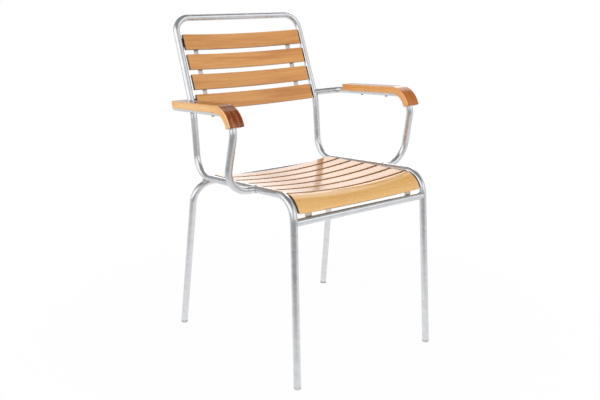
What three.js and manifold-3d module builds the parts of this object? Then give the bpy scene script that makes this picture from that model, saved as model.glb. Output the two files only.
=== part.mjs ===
// A stacking garden armchair. One bent steel tube makes the front legs, the seat rails and the back.
// A second tube bent to a U makes the rear legs and passes under the rails. Two more bent tubes make
// the arms. Bowed wooden slats lie on steel straps, and a bentwood pad is screwed to each arm.
//
// Millimetres. +X is the chair's right as seen from the front, +Y is to the back, +Z is up.
// While it is modelled, y = 0 is where the lines of a front leg and a seat rail cross.

import * as THREE from 'three';
import { mergeVertices } from 'three/addons/utils/BufferGeometryUtils.js';
import Module from 'manifold-3d';

const wasm = await Module();
wasm.setup();

// Tube stock and the clearance between neighbouring pieces
const TUBE_DIAMETER = 18;
const TUBE_WALL = 1.5;
const CLEARANCE = 0.3;
const CUT_OVERRUN = 12;

// Main frame tube, from a front foot over the seat rail to the top of the back
const RAIL_HALF_SPACING = 204;
const FRONT_FOOT_HALF_SPACING = 214.3;
const FRONT_FOOT_LEAD = 33.8;
const RAIL_FRONT_HEIGHT = 462.3;
const FRONT_BEND_RADIUS = 54.5;
const RAIL_LENGTH = 430.4;
const RAIL_DROP = 38.4;
const REAR_BEND_RADIUS = 57.5;
const LOWER_BACK_RISE = 168.7;
const LOWER_BACK_SETBACK = 16.5;
const KINK_RADIUS = 150;
const UPPER_BACK_RISE = 238.4;
const UPPER_BACK_SETBACK = 98.2;
const TOP_HALF_SPACING = 200.2;
const TOP_BEND_RADIUS = 42;
const DRAIN_HOLE_DIAMETER = 5;
const DRAIN_HOLE_SETBACK = 119;

// Rear leg hoop, whose cross part passes under the rails in front of their rear bends
const REAR_FOOT_HALF_SPACING = 249.8;
const REAR_SHOULDER_HALF_SPACING = 233.6;
const REAR_FOOT_SETBACK = 54.7;
const HOOP_SETBACK = 400.6;
const HOOP_BEND_RADIUS = 54;

// Cross tube between the front legs
const CROSS_TUBE_DROP = 59.8;

// Arm tubes
const ARM_HALF_SPACING = 277;
const ARM_REAR_RISE = 19.4;
const ARM_REAR_LEAD = 32;
const ARM_REAR_LIFT = 5.9;
const ARM_REAR_BEND_RADIUS = 34;
const ARM_LENGTH = 303;
const ARM_RISE = 23.1;
const ARM_FRONT_BEND_RADIUS = 46;
const ARM_POST_SETBACK = 38;
const ARM_POST_SPREAD = 9;
const ARM_POST_END_LENGTH = 22.6;
const ARM_HOOK_SETBACK = 8;

// Bentwood arm pads
const PAD_WIDTH = 42;
const PAD_THICKNESS = 18.5;
const PAD_LIFT = 0.4;
const PAD_REAR_SETBACK = 34;
const PAD_END_ANGLE = 20;
const PAD_EDGE_RADIUS = 3;

// Wooden slats
const SLAT_THICKNESS = 9;
const SLAT_EDGE_RADIUS = 1.6;
// How much further a corner is rounded than the edge beside it
const CORNER_SHARE = 1.7;
const SEAT_SLAT_COUNT = 6;
const SEAT_SLAT_WIDTH = 43;
const SEAT_SLAT_GAP = 11;
const SEAT_SLAT_SIDE_GAP = 4;
const SEAT_BOW = 12;
const BACK_SLAT_COUNT = 4;
const BACK_SLAT_WIDTH = 41.7;
const BACK_SLAT_GAP = 13.3;
const BACK_SLAT_SIDE_GAP = 2;
const BACK_SLAT_TOP_DROP = 47.2;
const BACK_SLAT_FORWARD = 8;
const BACK_BOW = 13;

// Front slat, bent down over the straps
const FRONT_SLAT_REVEAL = 7.5;
const FRONT_SLAT_CORNER_RADIUS = 6;

// Steel straps under the seat
const SEAT_STRAP_HALF_SPACING = 158;
const SEAT_STRAP_WIDTH = 18;
const SEAT_STRAP_THICKNESS = 4;
const SEAT_STRAP_FRONT_RISE = 42.8;
const SEAT_STRAP_BEND_RADIUS = 40;
const SEAT_STRAP_END_SETBACK = 5;
const SEAT_STRAP_END_RISE = 6.5;
// How far a strap's top lies below the hoop's top, where it meets the hoop's front
const SEAT_STRAP_REAR_DROP = 0.2;

// Steel bars and straps behind the back slats
const BACK_BAR_HEIGHT = 25;
const BACK_BAR_THICKNESS = 3;
const BACK_STRAP_HALF_SPACING = 152;
const BACK_STRAP_WIDTH = 14;
const BACK_STRAP_THICKNESS = 3;

// Screws
const SCREW_SHANK_DIAMETER = 4;
const SCREW_HEAD_DIAMETER = 7.6;
const SCREW_HEAD_HEIGHT = 2.2;
// The flat of a head's top across the head, and its straight side up the head
const SCREW_FLAT_SHARE = 0.6;
const SCREW_SIDE_SHARE = 0.4;
const SCREW_BITE = 5.5;
const PAD_SCREW_BITE = 8;
const PAD_SCREW_FRONT_SETBACK = 43.4;
const PAD_SCREW_REAR_LEAD = 64.6;

// Foot glides
const GLIDE_RIM_HEIGHT = 6;
const GLIDE_EDGE_CHAMFER = 1.2;
const GLIDE_SPIGOT_LENGTH = 16;

// Facets
const TUBE_SIDES = 12;
const BORE_SIDES = 8;
const SCREW_SIDES = 8;
const BEND_STEPS_PER_QUARTER = 8;
const BOW_STEPS = 8;
// How near two corners of a surface lie that are one
const WELD_DISTANCE = 0.0001;

// Sizes that follow from the values above
const TUBE_RADIUS = TUBE_DIAMETER / 2;
const BORE_RADIUS = TUBE_RADIUS - TUBE_WALL;
const SCREW_SHANK_RADIUS = SCREW_SHANK_DIAMETER / 2;
const SCREW_HEAD_RADIUS = SCREW_HEAD_DIAMETER / 2;
const SEAT_SLAT_HALF_LENGTH = RAIL_HALF_SPACING - TUBE_RADIUS - SEAT_SLAT_SIDE_GAP;
const BACK_SLAT_HALF_LENGTH = TOP_HALF_SPACING - TUBE_RADIUS - BACK_SLAT_SIDE_GAP;

const X_AXIS = new THREE.Vector3(1, 0, 0);
const Y_AXIS = new THREE.Vector3(0, 1, 0);
const Z_AXIS = new THREE.Vector3(0, 0, 1);

// Finishes
const GALVANISED = { color: 0xc4c6c9, roughness: 0.42, metalness: 0.9 };
const ZINC_STRAP = { color: 0xb4b6b9, roughness: 0.5, metalness: 0.85 };
const SLAT_WOOD = { color: 0xcc9156, roughness: 0.3, metalness: 0 };
const PAD_WOOD = { color: 0xc4793d, roughness: 0.28, metalness: 0 };
const SCREW_STEEL = { color: 0x9fa2a6, roughness: 0.35, metalness: 0.95 };
const GLIDE_PLASTIC = { color: 0xc9cacb, roughness: 0.55, metalness: 0 };

const chair = new THREE.Group();

function addMesh(name, geometry, finish) {
  const mesh = new THREE.Mesh(geometry, new THREE.MeshStandardMaterial(finish));
  mesh.name = name;
  chair.add(mesh);
  return mesh;
}

// The angle by which a line turns at a corner
function turnAt(before, corner, after) {
  return corner.clone().sub(before).angleTo(after.clone().sub(corner));
}

function bendSteps(turn) {
  return Math.max(2, Math.round((turn / (Math.PI / 2)) * BEND_STEPS_PER_QUARTER));
}

// A run of straight lines with round bends, with stations at the ends and along each bend only
class BentPath extends THREE.Curve {
  constructor(corners, radii) {
    super();
    this.stations = [];
    const last = corners.length - 1;
    const first = corners[1].clone().sub(corners[0]).normalize();
    this.stations.push({ point: corners[0].clone(), tangent: first });
    for (let i = 1; i < last; i += 1) {
      this.addBend(corners[i - 1], corners[i], corners[i + 1], radii[i - 1]);
    }
    const final = corners[last].clone().sub(corners[last - 1]).normalize();
    this.stations.push({ point: corners[last].clone(), tangent: final });
    this.steps = this.stations.length - 1;
  }

  addBend(before, corner, after, radius) {
    const incoming = corner.clone().sub(before).normalize();
    const outgoing = after.clone().sub(corner).normalize();
    const turn = turnAt(before, corner, after);
    const inward = outgoing.clone().addScaledVector(incoming, -incoming.dot(outgoing)).normalize();
    const start = corner.clone().addScaledVector(incoming, -radius * Math.tan(turn / 2));
    const centre = start.clone().addScaledVector(inward, radius);
    const steps = bendSteps(turn);
    for (let i = 0; i <= steps; i += 1) {
      const angle = (turn * i) / steps;
      const point = centre.clone();
      point.addScaledVector(inward, -radius * Math.cos(angle));
      point.addScaledVector(incoming, radius * Math.sin(angle));
      const tangent = incoming.clone().multiplyScalar(Math.cos(angle));
      tangent.addScaledVector(inward, Math.sin(angle));
      this.stations.push({ point, tangent });
    }
  }

  stationAt(share) {
    return this.stations[Math.round(share * this.steps)];
  }

  getPoint(share, target = new THREE.Vector3()) {
    return target.copy(this.stationAt(share).point);
  }

  getPointAt(share, target = new THREE.Vector3()) {
    return target.copy(this.stationAt(share).point);
  }

  getTangentAt(share, target = new THREE.Vector3()) {
    return target.copy(this.stationAt(share).tangent);
  }
}

function ringPoints(radius, sides) {
  const points = [];
  for (let i = 0; i < sides; i += 1) {
    const angle = (2 * Math.PI * (i + 0.5)) / sides;
    points.push(new THREE.Vector2(radius * Math.cos(angle), radius * Math.sin(angle)));
  }
  return points;
}

function arcPoints(centre, radius, startAngle, endAngle, steps) {
  const points = [];
  for (let i = 0; i <= steps; i += 1) {
    const angle = startAngle + ((endAngle - startAngle) * i) / steps;
    points.push(
      new THREE.Vector2(centre.x + radius * Math.cos(angle), centre.y + radius * Math.sin(angle)),
    );
  }
  return points;
}

// Cuts the sharp corner between two neighbours of an outline to a small round one
function roundedCorner(before, corner, after, radius) {
  const start = corner.clone().add(before.clone().sub(corner).setLength(radius));
  const end = corner.clone().add(after.clone().sub(corner).setLength(radius));
  const middle = start.clone().add(end).multiplyScalar(0.25).addScaledVector(corner, 0.5);
  return [start, middle, end];
}

function hollowTube(path) {
  const section = new THREE.Shape(ringPoints(TUBE_RADIUS, TUBE_SIDES));
  section.holes.push(new THREE.Path(ringPoints(BORE_RADIUS, BORE_SIDES)));
  return new THREE.ExtrudeGeometry(section, { extrudePath: path, steps: path.steps });
}

// The tube's outside with the clearance added, as the cutter for what meets it
function tubeEnvelope(path) {
  const section = new THREE.Shape(ringPoints(TUBE_RADIUS + CLEARANCE, TUBE_SIDES));
  return new THREE.ExtrudeGeometry(section, { extrudePath: path, steps: path.steps });
}

function signedVolume(geometry) {
  const position = geometry.getAttribute('position');
  const index = geometry.getIndex();
  const count = index ? index.count : position.count;
  const a = new THREE.Vector3();
  const b = new THREE.Vector3();
  const c = new THREE.Vector3();
  let volume = 0;
  for (let i = 0; i < count; i += 3) {
    a.fromBufferAttribute(position, index ? index.getX(i) : i);
    b.fromBufferAttribute(position, index ? index.getX(i + 1) : i + 1);
    c.fromBufferAttribute(position, index ? index.getX(i + 2) : i + 2);
    volume += a.dot(b.cross(c)) / 6;
  }
  return volume;
}

// Only positions, welded, with every face turned outward
function cleanGeometry(geometry) {
  const plain = geometry.clone();
  plain.deleteAttribute('normal');
  plain.deleteAttribute('uv');
  const merged = mergeVertices(plain, WELD_DISTANCE);
  if (signedVolume(merged) < 0) {
    const index = merged.getIndex();
    for (let i = 0; i < index.count; i += 3) {
      const second = index.getX(i + 1);
      index.setX(i + 1, index.getX(i + 2));
      index.setX(i + 2, second);
    }
  }
  return merged;
}

function toSolid(geometry) {
  const clean = cleanGeometry(geometry);
  return new wasm.Manifold(
    new wasm.Mesh({
      numProp: 3,
      vertProperties: new Float32Array(clean.getAttribute('position').array),
      triVerts: new Uint32Array(clean.getIndex().array),
    }),
  );
}

function fromSolid(solid) {
  const mesh = solid.getMesh();
  const geometry = new THREE.BufferGeometry();
  geometry.setAttribute('position', new THREE.BufferAttribute(mesh.vertProperties, 3));
  geometry.setIndex(new THREE.BufferAttribute(mesh.triVerts, 1));
  const flat = geometry.toNonIndexed();
  flat.computeVertexNormals();
  return flat;
}

function cutAway(geometry, cutters) {
  let solid = toSolid(geometry);
  for (const cutter of cutters) {
    solid = solid.subtract(toSolid(cutter));
  }
  return fromSolid(solid);
}

function joinTogether(geometries) {
  let solid = toSolid(geometries[0]);
  for (const geometry of geometries.slice(1)) {
    solid = solid.add(toSolid(geometry));
  }
  return fromSolid(solid);
}

// A shape drawn in a chair's side view (x is y, y is z), run along the chair's X
function extrudeSideways(shape, options) {
  const geometry = new THREE.ExtrudeGeometry(shape, options);
  geometry.translate(0, 0, -options.depth / 2);
  return geometry.applyMatrix4(new THREE.Matrix4().makeBasis(Y_AXIS, Z_AXIS, X_AXIS));
}

// A round cutter or shank from a point along a direction
function rod(radius, length, point, direction) {
  const geometry = new THREE.CylinderGeometry(radius, radius, length, SCREW_SIDES);
  geometry.translate(0, length / 2, 0);
  const turn = new THREE.Quaternion().setFromUnitVectors(Y_AXIS, direction);
  geometry.applyQuaternion(turn);
  return geometry.translate(point.x, point.y, point.z);
}

// Main frame

const frontCorner = new THREE.Vector3(RAIL_HALF_SPACING, 0, RAIL_FRONT_HEIGHT);
const rearCorner = new THREE.Vector3(
  RAIL_HALF_SPACING,
  RAIL_LENGTH,
  RAIL_FRONT_HEIGHT - RAIL_DROP,
);
const kinkCorner = new THREE.Vector3(
  RAIL_HALF_SPACING,
  rearCorner.y + LOWER_BACK_SETBACK,
  rearCorner.z + LOWER_BACK_RISE,
);
const topCorner = new THREE.Vector3(
  TOP_HALF_SPACING,
  kinkCorner.y + UPPER_BACK_SETBACK,
  kinkCorner.z + UPPER_BACK_RISE,
);
const frontFoot = new THREE.Vector3(FRONT_FOOT_HALF_SPACING, -FRONT_FOOT_LEAD, 0);

function onSide(point, side) {
  return new THREE.Vector3(point.x * side, point.y, point.z);
}

// The leg's line carried on below the floor, to be cut level afterwards
function belowFloor(foot, above) {
  const down = foot.clone().sub(above).normalize();
  return foot.clone().addScaledVector(down, CUT_OVERRUN);
}

function mainFramePath() {
  const half = [belowFloor(frontFoot, frontCorner), frontCorner, rearCorner, kinkCorner, topCorner];
  const corners = half.map((point) => onSide(point, 1));
  corners.push(...half.map((point) => onSide(point, -1)).reverse());
  const radii = [FRONT_BEND_RADIUS, REAR_BEND_RADIUS, KINK_RADIUS, TOP_BEND_RADIUS];
  return new BentPath(corners, [...radii, ...radii.slice().reverse()]);
}

// Everything below the top of the foot glides
function floorCutter() {
  const size = 2 * (REAR_FOOT_HALF_SPACING + RAIL_LENGTH);
  const depth = 3 * CUT_OVERRUN;
  const geometry = new THREE.BoxGeometry(size, size, depth);
  return geometry.translate(0, 0, GLIDE_RIM_HEIGHT + CLEARANCE - depth / 2);
}

function pointOnRail(setback) {
  const share = setback / RAIL_LENGTH;
  return frontCorner.clone().lerp(rearCorner, share);
}

function drainHole(side) {
  const centre = onSide(pointOnRail(DRAIN_HOLE_SETBACK), side);
  return rod(DRAIN_HOLE_DIAMETER / 2, TUBE_RADIUS + CUT_OVERRUN, centre, Z_AXIS.clone().negate());
}

const framePath = mainFramePath();
const frameEnvelope = tubeEnvelope(framePath);

addMesh(
  'main_frame_tube',
  cutAway(hollowTube(framePath), [floorCutter(), drainHole(1), drainHole(-1)]),
  GALVANISED,
);

// Rear leg hoop

const rearFoot = new THREE.Vector3(REAR_FOOT_HALF_SPACING, HOOP_SETBACK + REAR_FOOT_SETBACK, 0);

function rearShoulder(crossHeight) {
  return new THREE.Vector3(REAR_SHOULDER_HALF_SPACING, HOOP_SETBACK, crossHeight);
}

function hoopPath(crossHeight) {
  const shoulder = rearShoulder(crossHeight);
  const half = [belowFloor(rearFoot, shoulder), shoulder];
  const corners = half.map((point) => onSide(point, 1));
  corners.push(...half.map((point) => onSide(point, -1)).reverse());
  return new BentPath(corners, [HOOP_BEND_RADIUS, HOOP_BEND_RADIUS]);
}

// How far a path can rise before it comes nearer than a distance to the line of the right rail
function roomUnderRail(path, distance) {
  const along = rearCorner.clone().sub(frontCorner).normalize();
  const rise = Z_AXIS.clone().addScaledVector(along, -along.z);
  let room = Infinity;
  for (const { point } of path.stations) {
    const offset = point.clone().sub(frontCorner);
    offset.addScaledVector(along, -along.dot(offset));
    const linear = offset.dot(rise);
    const square = rise.lengthSq();
    const root = linear * linear - square * (offset.lengthSq() - distance * distance);
    if (root > 0 && point.x > 0) {
      room = Math.min(room, (-linear - Math.sqrt(root)) / square);
    }
  }
  return room;
}

function seatedHoopHeight() {
  const distance = TUBE_DIAMETER + CLEARANCE;
  let height = pointOnRail(HOOP_SETBACK).z - TUBE_DIAMETER;
  for (let round = 0; round < 4; round += 1) {
    height += roomUnderRail(hoopPath(height), distance);
  }
  return height;
}

const hoopHeight = seatedHoopHeight();
const rearHoopPath = hoopPath(hoopHeight);

addMesh('rear_leg_hoop', cutAway(hollowTube(rearHoopPath), [floorCutter()]), GALVANISED);

// Front cross tube, saddled to the legs at both ends

const crossTubeHeight = RAIL_FRONT_HEIGHT - CROSS_TUBE_DROP;
const crossTubeEnd = frontFoot.clone().lerp(frontCorner, crossTubeHeight / RAIL_FRONT_HEIGHT);
const crossTubePath = new BentPath([onSide(crossTubeEnd, -1), crossTubeEnd], []);
const crossTubeEnvelope = tubeEnvelope(crossTubePath);

addMesh('front_cross_tube', cutAway(hollowTube(crossTubePath), [frameEnvelope]), GALVANISED);

// Arm tubes, saddled to the upright at the rear and to the seat rail at the front

const backLine = topCorner.clone().sub(kinkCorner);
const backLean = Math.atan2(UPPER_BACK_SETBACK, UPPER_BACK_RISE);

const armCorners = {
  upright: kinkCorner.clone().lerp(topCorner, ARM_REAR_RISE / UPPER_BACK_RISE),
};
armCorners.rear = new THREE.Vector3(
  ARM_HALF_SPACING,
  armCorners.upright.y - ARM_REAR_LEAD,
  armCorners.upright.z + ARM_REAR_LIFT,
);
armCorners.front = new THREE.Vector3(
  ARM_HALF_SPACING,
  armCorners.rear.y - ARM_LENGTH,
  armCorners.rear.z + ARM_RISE,
);
armCorners.rail = pointOnRail(armCorners.front.y + ARM_POST_SETBACK - ARM_HOOK_SETBACK);
armCorners.hook = new THREE.Vector3(
  ARM_HALF_SPACING + ARM_POST_SPREAD,
  armCorners.rail.y + ARM_HOOK_SETBACK,
  armCorners.rail.z,
);

// The post's bend takes all of its foot but a straight end at the rail
const armPostTurn = turnAt(armCorners.front, armCorners.hook, armCorners.rail);
const armPostFoot = armCorners.hook.distanceTo(armCorners.rail) - ARM_POST_END_LENGTH;
const armPostBendRadius = armPostFoot / Math.tan(armPostTurn / 2);

// An end of the arm tube, a little way out from the axis of the tube that it is saddled to
function saddleEnd(axisPoint, next) {
  const outward = next.clone().sub(axisPoint).normalize();
  return axisPoint.clone().addScaledVector(outward, 2 * TUBE_WALL);
}

function armPath(side) {
  const { upright, rear, front, hook, rail } = armCorners;
  const ends = [saddleEnd(upright, rear), saddleEnd(rail, hook)];
  const corners = [ends[0], rear, front, hook, ends[1]].map((point) => onSide(point, side));
  return new BentPath(corners, [ARM_REAR_BEND_RADIUS, ARM_FRONT_BEND_RADIUS, armPostBendRadius]);
}

const armLine = armCorners.front.clone().sub(armCorners.rear).normalize();
const armNormal = new THREE.Vector3(0, armLine.z, -armLine.y);

// How far the arm's front bend reaches back from its corner, in the side view
const armPost = armCorners.hook.clone().sub(armCorners.front).setX(0);
const armFrontReach = ARM_FRONT_BEND_RADIUS * Math.tan(armLine.angleTo(armPost) / 2);
const armBendPlace = armCorners.front.distanceTo(armCorners.rear) - armFrontReach;

// The front screw is set back from the arm's bend, the rear one forward from the pad's rear end
function padScrewPlaces(side) {
  const distances = [
    armBendPlace - PAD_SCREW_FRONT_SETBACK,
    PAD_REAR_SETBACK + PAD_SCREW_REAR_LEAD,
  ];
  return distances.map((distance) =>
    onSide(armCorners.rear.clone().addScaledVector(armLine, distance), side),
  );
}

const padScrewReach = 2 * TUBE_RADIUS + CLEARANCE + PAD_SCREW_BITE;

function padScrewHoles(side) {
  const radius = SCREW_SHANK_RADIUS + CLEARANCE;
  return padScrewPlaces(side).map((place) => {
    const start = place.clone().addScaledVector(armNormal, -TUBE_RADIUS - CLEARANCE);
    return rod(radius, padScrewReach + CLEARANCE, start, armNormal);
  });
}

// Arm pads, bent over the front of the arm tube and grooved to sit on it

function padOutline() {
  const line = new THREE.Vector2(armLine.y, armLine.z).normalize();
  const normal = new THREE.Vector2(armNormal.y, armNormal.z).normalize();
  const rear = new THREE.Vector2(armCorners.rear.y, armCorners.rear.z);
  const centre = rear.clone().addScaledVector(line, armBendPlace);
  centre.addScaledVector(normal, -ARM_FRONT_BEND_RADIUS);
  const startAngle = Math.atan2(normal.y, normal.x);
  const endAngle = Math.PI - THREE.MathUtils.degToRad(PAD_END_ANGLE);
  const under = ARM_FRONT_BEND_RADIUS + PAD_LIFT;
  const over = under + PAD_THICKNESS;
  const steps = bendSteps(endAngle - startAngle);
  rear.addScaledVector(line, PAD_REAR_SETBACK);
  const rearUnder = rear.clone().addScaledVector(normal, PAD_LIFT);
  const rearOver = rear.clone().addScaledVector(normal, PAD_LIFT + PAD_THICKNESS);
  const top = arcPoints(centre, over, startAngle, endAngle, steps);
  const bottom = arcPoints(centre, under, endAngle, startAngle, steps);
  const round = PAD_EDGE_RADIUS * CORNER_SHARE;
  const endTop = top.pop();
  const endBottom = bottom.shift();
  return new THREE.Shape([
    ...roundedCorner(rearUnder, rearOver, top[0], round),
    ...top,
    ...roundedCorner(top[top.length - 1], endTop, endBottom, round),
    ...roundedCorner(endTop, endBottom, bottom[0], round),
    ...bottom,
    ...roundedCorner(bottom[bottom.length - 1], rearUnder, rearOver, round),
  ]);
}

function padGeometry(side) {
  const geometry = extrudeSideways(padOutline(), {
    depth: PAD_WIDTH - 2 * PAD_EDGE_RADIUS,
    bevelThickness: PAD_EDGE_RADIUS,
    bevelSize: PAD_EDGE_RADIUS,
    bevelOffset: -PAD_EDGE_RADIUS,
    bevelSegments: 2,
  });
  return geometry.translate(ARM_HALF_SPACING * side, 0, 0);
}

// Screws, with the shank along the mesh's own Z and the head's seat at its origin

function screwGeometry(reach) {
  const head = SCREW_HEAD_RADIUS;
  const height = SCREW_HEAD_HEIGHT;
  const profile = [
    new THREE.Vector2(0, -height),
    new THREE.Vector2(head * SCREW_FLAT_SHARE, -height),
    new THREE.Vector2(head, -height * SCREW_SIDE_SHARE),
    new THREE.Vector2(head, 0),
    new THREE.Vector2(SCREW_SHANK_RADIUS, 0),
    new THREE.Vector2(SCREW_SHANK_RADIUS, reach - SCREW_SHANK_RADIUS),
    new THREE.Vector2(0, reach),
  ];
  return new THREE.LatheGeometry(profile, SCREW_SIDES).rotateX(Math.PI / 2);
}

function addScrew(name, reach, seat, direction) {
  const mesh = addMesh(name, cleanGeometry(screwGeometry(reach)), SCREW_STEEL);
  mesh.quaternion.setFromUnitVectors(Z_AXIS, direction);
  mesh.position.copy(seat);
  return mesh;
}

for (const [label, side] of [['right', 1], ['left', -1]]) {
  const path = armPath(side);
  const holes = padScrewHoles(side);
  const tube = cutAway(hollowTube(path), [frameEnvelope, ...holes]);
  addMesh(`arm_tube_${label}`, tube, GALVANISED);
  const pad = cutAway(padGeometry(side), [tubeEnvelope(path), ...holes]);
  addMesh(`arm_pad_${label}`, pad, PAD_WOOD);
  padScrewPlaces(side).forEach((place, i) => {
    const seat = place.clone().addScaledVector(armNormal, -TUBE_RADIUS - CLEARANCE);
    addScrew(`arm_pad_screw_${label}_${i + 1}`, padScrewReach, seat, armNormal);
  });
}

// Bowed slats and bars. Their own X runs along them, Y across them, and Z to the sitter.
// The origin is at the middle of the underside.

function bowRadius(halfLength, bow) {
  return (halfLength * halfLength + bow * bow) / (2 * bow);
}

// Height of a bowed underside above its middle, at a place along it
function bowRise(radius, place) {
  return radius - Math.sqrt(radius * radius - place * place);
}

function bowedOutline(halfLength, underRadius, thickness) {
  const centre = new THREE.Vector2(0, underRadius);
  const down = -Math.PI / 2;
  const reach = Math.asin(halfLength / underRadius);
  const overReach = Math.asin(halfLength / (underRadius - thickness));
  const under = arcPoints(centre, underRadius, down - reach, down + reach, BOW_STEPS);
  const over = arcPoints(
    centre,
    underRadius - thickness,
    down + overReach,
    down - overReach,
    BOW_STEPS,
  );
  return new THREE.Shape([...under, ...over]);
}

function bowedStrip(halfLength, underRadius, thickness, width, edge) {
  const geometry = new THREE.ExtrudeGeometry(bowedOutline(halfLength, underRadius, thickness), {
    depth: width - 2 * edge,
    bevelEnabled: edge > 0,
    bevelThickness: edge,
    bevelSize: edge,
    bevelOffset: -edge,
    bevelSegments: 1,
  });
  geometry.translate(0, 0, edge - width / 2);
  return geometry.applyMatrix4(
    new THREE.Matrix4().makeBasis(X_AXIS, Z_AXIS, Y_AXIS.clone().negate()),
  );
}

// Seat straps, which end at the hoop's front and bend down to the cross tube at the front

const strapFrontTop = crossTubeHeight + SEAT_STRAP_FRONT_RISE;
const strapRearTop = hoopHeight + TUBE_RADIUS - SEAT_STRAP_REAR_DROP;
const strapFrontFace = crossTubeEnd.y + SEAT_STRAP_END_SETBACK;
const strapSlope = Math.atan2(
  strapFrontTop - strapRearTop,
  HOOP_SETBACK - strapFrontFace - SEAT_STRAP_BEND_RADIUS,
);
const strapLine = new THREE.Vector3(0, Math.cos(strapSlope), -Math.sin(strapSlope));
const strapNormal = new THREE.Vector3(0, Math.sin(strapSlope), Math.cos(strapSlope));
const strapRear = new THREE.Vector3(0, HOOP_SETBACK, strapRearTop);

// The top of the strap at a place y
function strapTopAt(y) {
  return strapRear.clone().addScaledVector(strapLine, (y - strapRear.y) / strapLine.y);
}

const strapCorner = strapTopAt(strapFrontFace);
const strapBendTurn = Math.PI / 2 + strapSlope;
const strapBendStart = strapCorner
  .clone()
  .addScaledVector(strapLine, SEAT_STRAP_BEND_RADIUS * Math.tan(strapBendTurn / 2));
const strapBendCentre = strapBendStart
  .clone()
  .addScaledVector(strapNormal, -SEAT_STRAP_BEND_RADIUS);

// How far before the hoop's centre line a strap's lower edge meets the tube
function strapRearLead() {
  const height = strapRearTop - SEAT_STRAP_THICKNESS - hoopHeight;
  const reach = TUBE_RADIUS + CLEARANCE;
  return Math.sqrt(reach * reach - height * height);
}

function seatStrapGeometry() {
  const half = SEAT_STRAP_THICKNESS / 2;
  const rear = strapTopAt(HOOP_SETBACK - strapRearLead());
  rear.addScaledVector(strapNormal, -half);
  const run = (rear.y - strapFrontFace - half) / strapLine.y;
  const corner = rear.clone().addScaledVector(strapLine, -run);
  const foot = new THREE.Vector3(0, corner.y, crossTubeHeight);
  const path = new BentPath([rear, corner, foot], [SEAT_STRAP_BEND_RADIUS - half]);
  const section = new THREE.Shape([
    new THREE.Vector2(-SEAT_STRAP_WIDTH / 2, -half),
    new THREE.Vector2(SEAT_STRAP_WIDTH / 2, -half),
    new THREE.Vector2(SEAT_STRAP_WIDTH / 2, half),
    new THREE.Vector2(-SEAT_STRAP_WIDTH / 2, half),
  ]);
  return new THREE.ExtrudeGeometry(section, { extrudePath: path, steps: path.steps });
}

// Removes the strap below its weld on the cross tube
function strapFootCutter() {
  const size = SEAT_STRAP_WIDTH + SEAT_STRAP_BEND_RADIUS + CUT_OVERRUN;
  const geometry = new THREE.BoxGeometry(size, size, size);
  const height = crossTubeHeight + SEAT_STRAP_END_RISE;
  return geometry.translate(SEAT_STRAP_HALF_SPACING, strapFrontFace, height - size / 2);
}

// Seat slats. Slat 1 is the rearmost, and the front slat follows the last gap.

const seatUnderRadius =
  bowRadius(SEAT_SLAT_HALF_LENGTH, SEAT_BOW) + SLAT_THICKNESS;
const strapInnerEdge = SEAT_STRAP_HALF_SPACING - SEAT_STRAP_WIDTH / 2;
const seatStrapRise = bowRise(seatUnderRadius, strapInnerEdge);
const slatPitch = SEAT_SLAT_WIDTH + SEAT_SLAT_GAP;
const frontSlatRear = strapBendStart.y;

function seatSlatPlace(index) {
  const fromFront = SEAT_SLAT_COUNT - index;
  const distance = SEAT_SLAT_GAP + SEAT_SLAT_WIDTH / 2 + fromFront * slatPitch;
  const place = strapTopAt(frontSlatRear).addScaledVector(strapLine, distance);
  return place.addScaledVector(strapNormal, CLEARANCE - seatStrapRise);
}

const seatScrewReach = SEAT_STRAP_THICKNESS + CLEARANCE + SCREW_BITE;

function screwHole(seat, direction, reach) {
  const start = seat.clone().addScaledVector(direction, -CLEARANCE);
  return rod(SCREW_SHANK_RADIUS + CLEARANCE, reach + 2 * CLEARANCE, start, direction);
}

// The seat of a screw's head, below the strap and under the middle of a slat
function seatScrewSeat(index, side) {
  const seat = seatSlatPlace(index).addScaledVector(strapNormal, seatStrapRise - CLEARANCE);
  seat.addScaledVector(strapNormal, -SEAT_STRAP_THICKNESS - CLEARANCE);
  seat.x = SEAT_STRAP_HALF_SPACING * side;
  return seat;
}

function seatSlatGeometry() {
  const strip = bowedStrip(
    SEAT_SLAT_HALF_LENGTH,
    seatUnderRadius,
    SLAT_THICKNESS,
    SEAT_SLAT_WIDTH,
    SLAT_EDGE_RADIUS,
  );
  const holes = [1, -1].map((side) => {
    const under = seatStrapRise - SEAT_STRAP_THICKNESS - 2 * CLEARANCE;
    const seat = new THREE.Vector3(SEAT_STRAP_HALF_SPACING * side, 0, under);
    return screwHole(seat, Z_AXIS, seatScrewReach);
  });
  return cutAway(strip, holes);
}

for (let i = 1; i <= SEAT_SLAT_COUNT; i += 1) {
  const slat = addMesh(`seat_slat_${i}`, seatSlatGeometry(), SLAT_WOOD);
  slat.position.copy(seatSlatPlace(i));
  slat.rotation.x = -strapSlope;
  for (const [label, side] of [['right', 1], ['left', -1]]) {
    const name = `seat_screw_${label}_${i}`;
    addScrew(name, seatScrewReach, seatScrewSeat(i, side), strapNormal);
  }
}

// Front slat. Its side view follows the straps' bend, and its bow fades out as it turns down.

const frontSlatInner = SEAT_STRAP_BEND_RADIUS + CLEARANCE;
const frontSlatOuter = frontSlatInner + SLAT_THICKNESS;
const frontSlatBottom = crossTubeHeight + TUBE_RADIUS + FRONT_SLAT_REVEAL;

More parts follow.
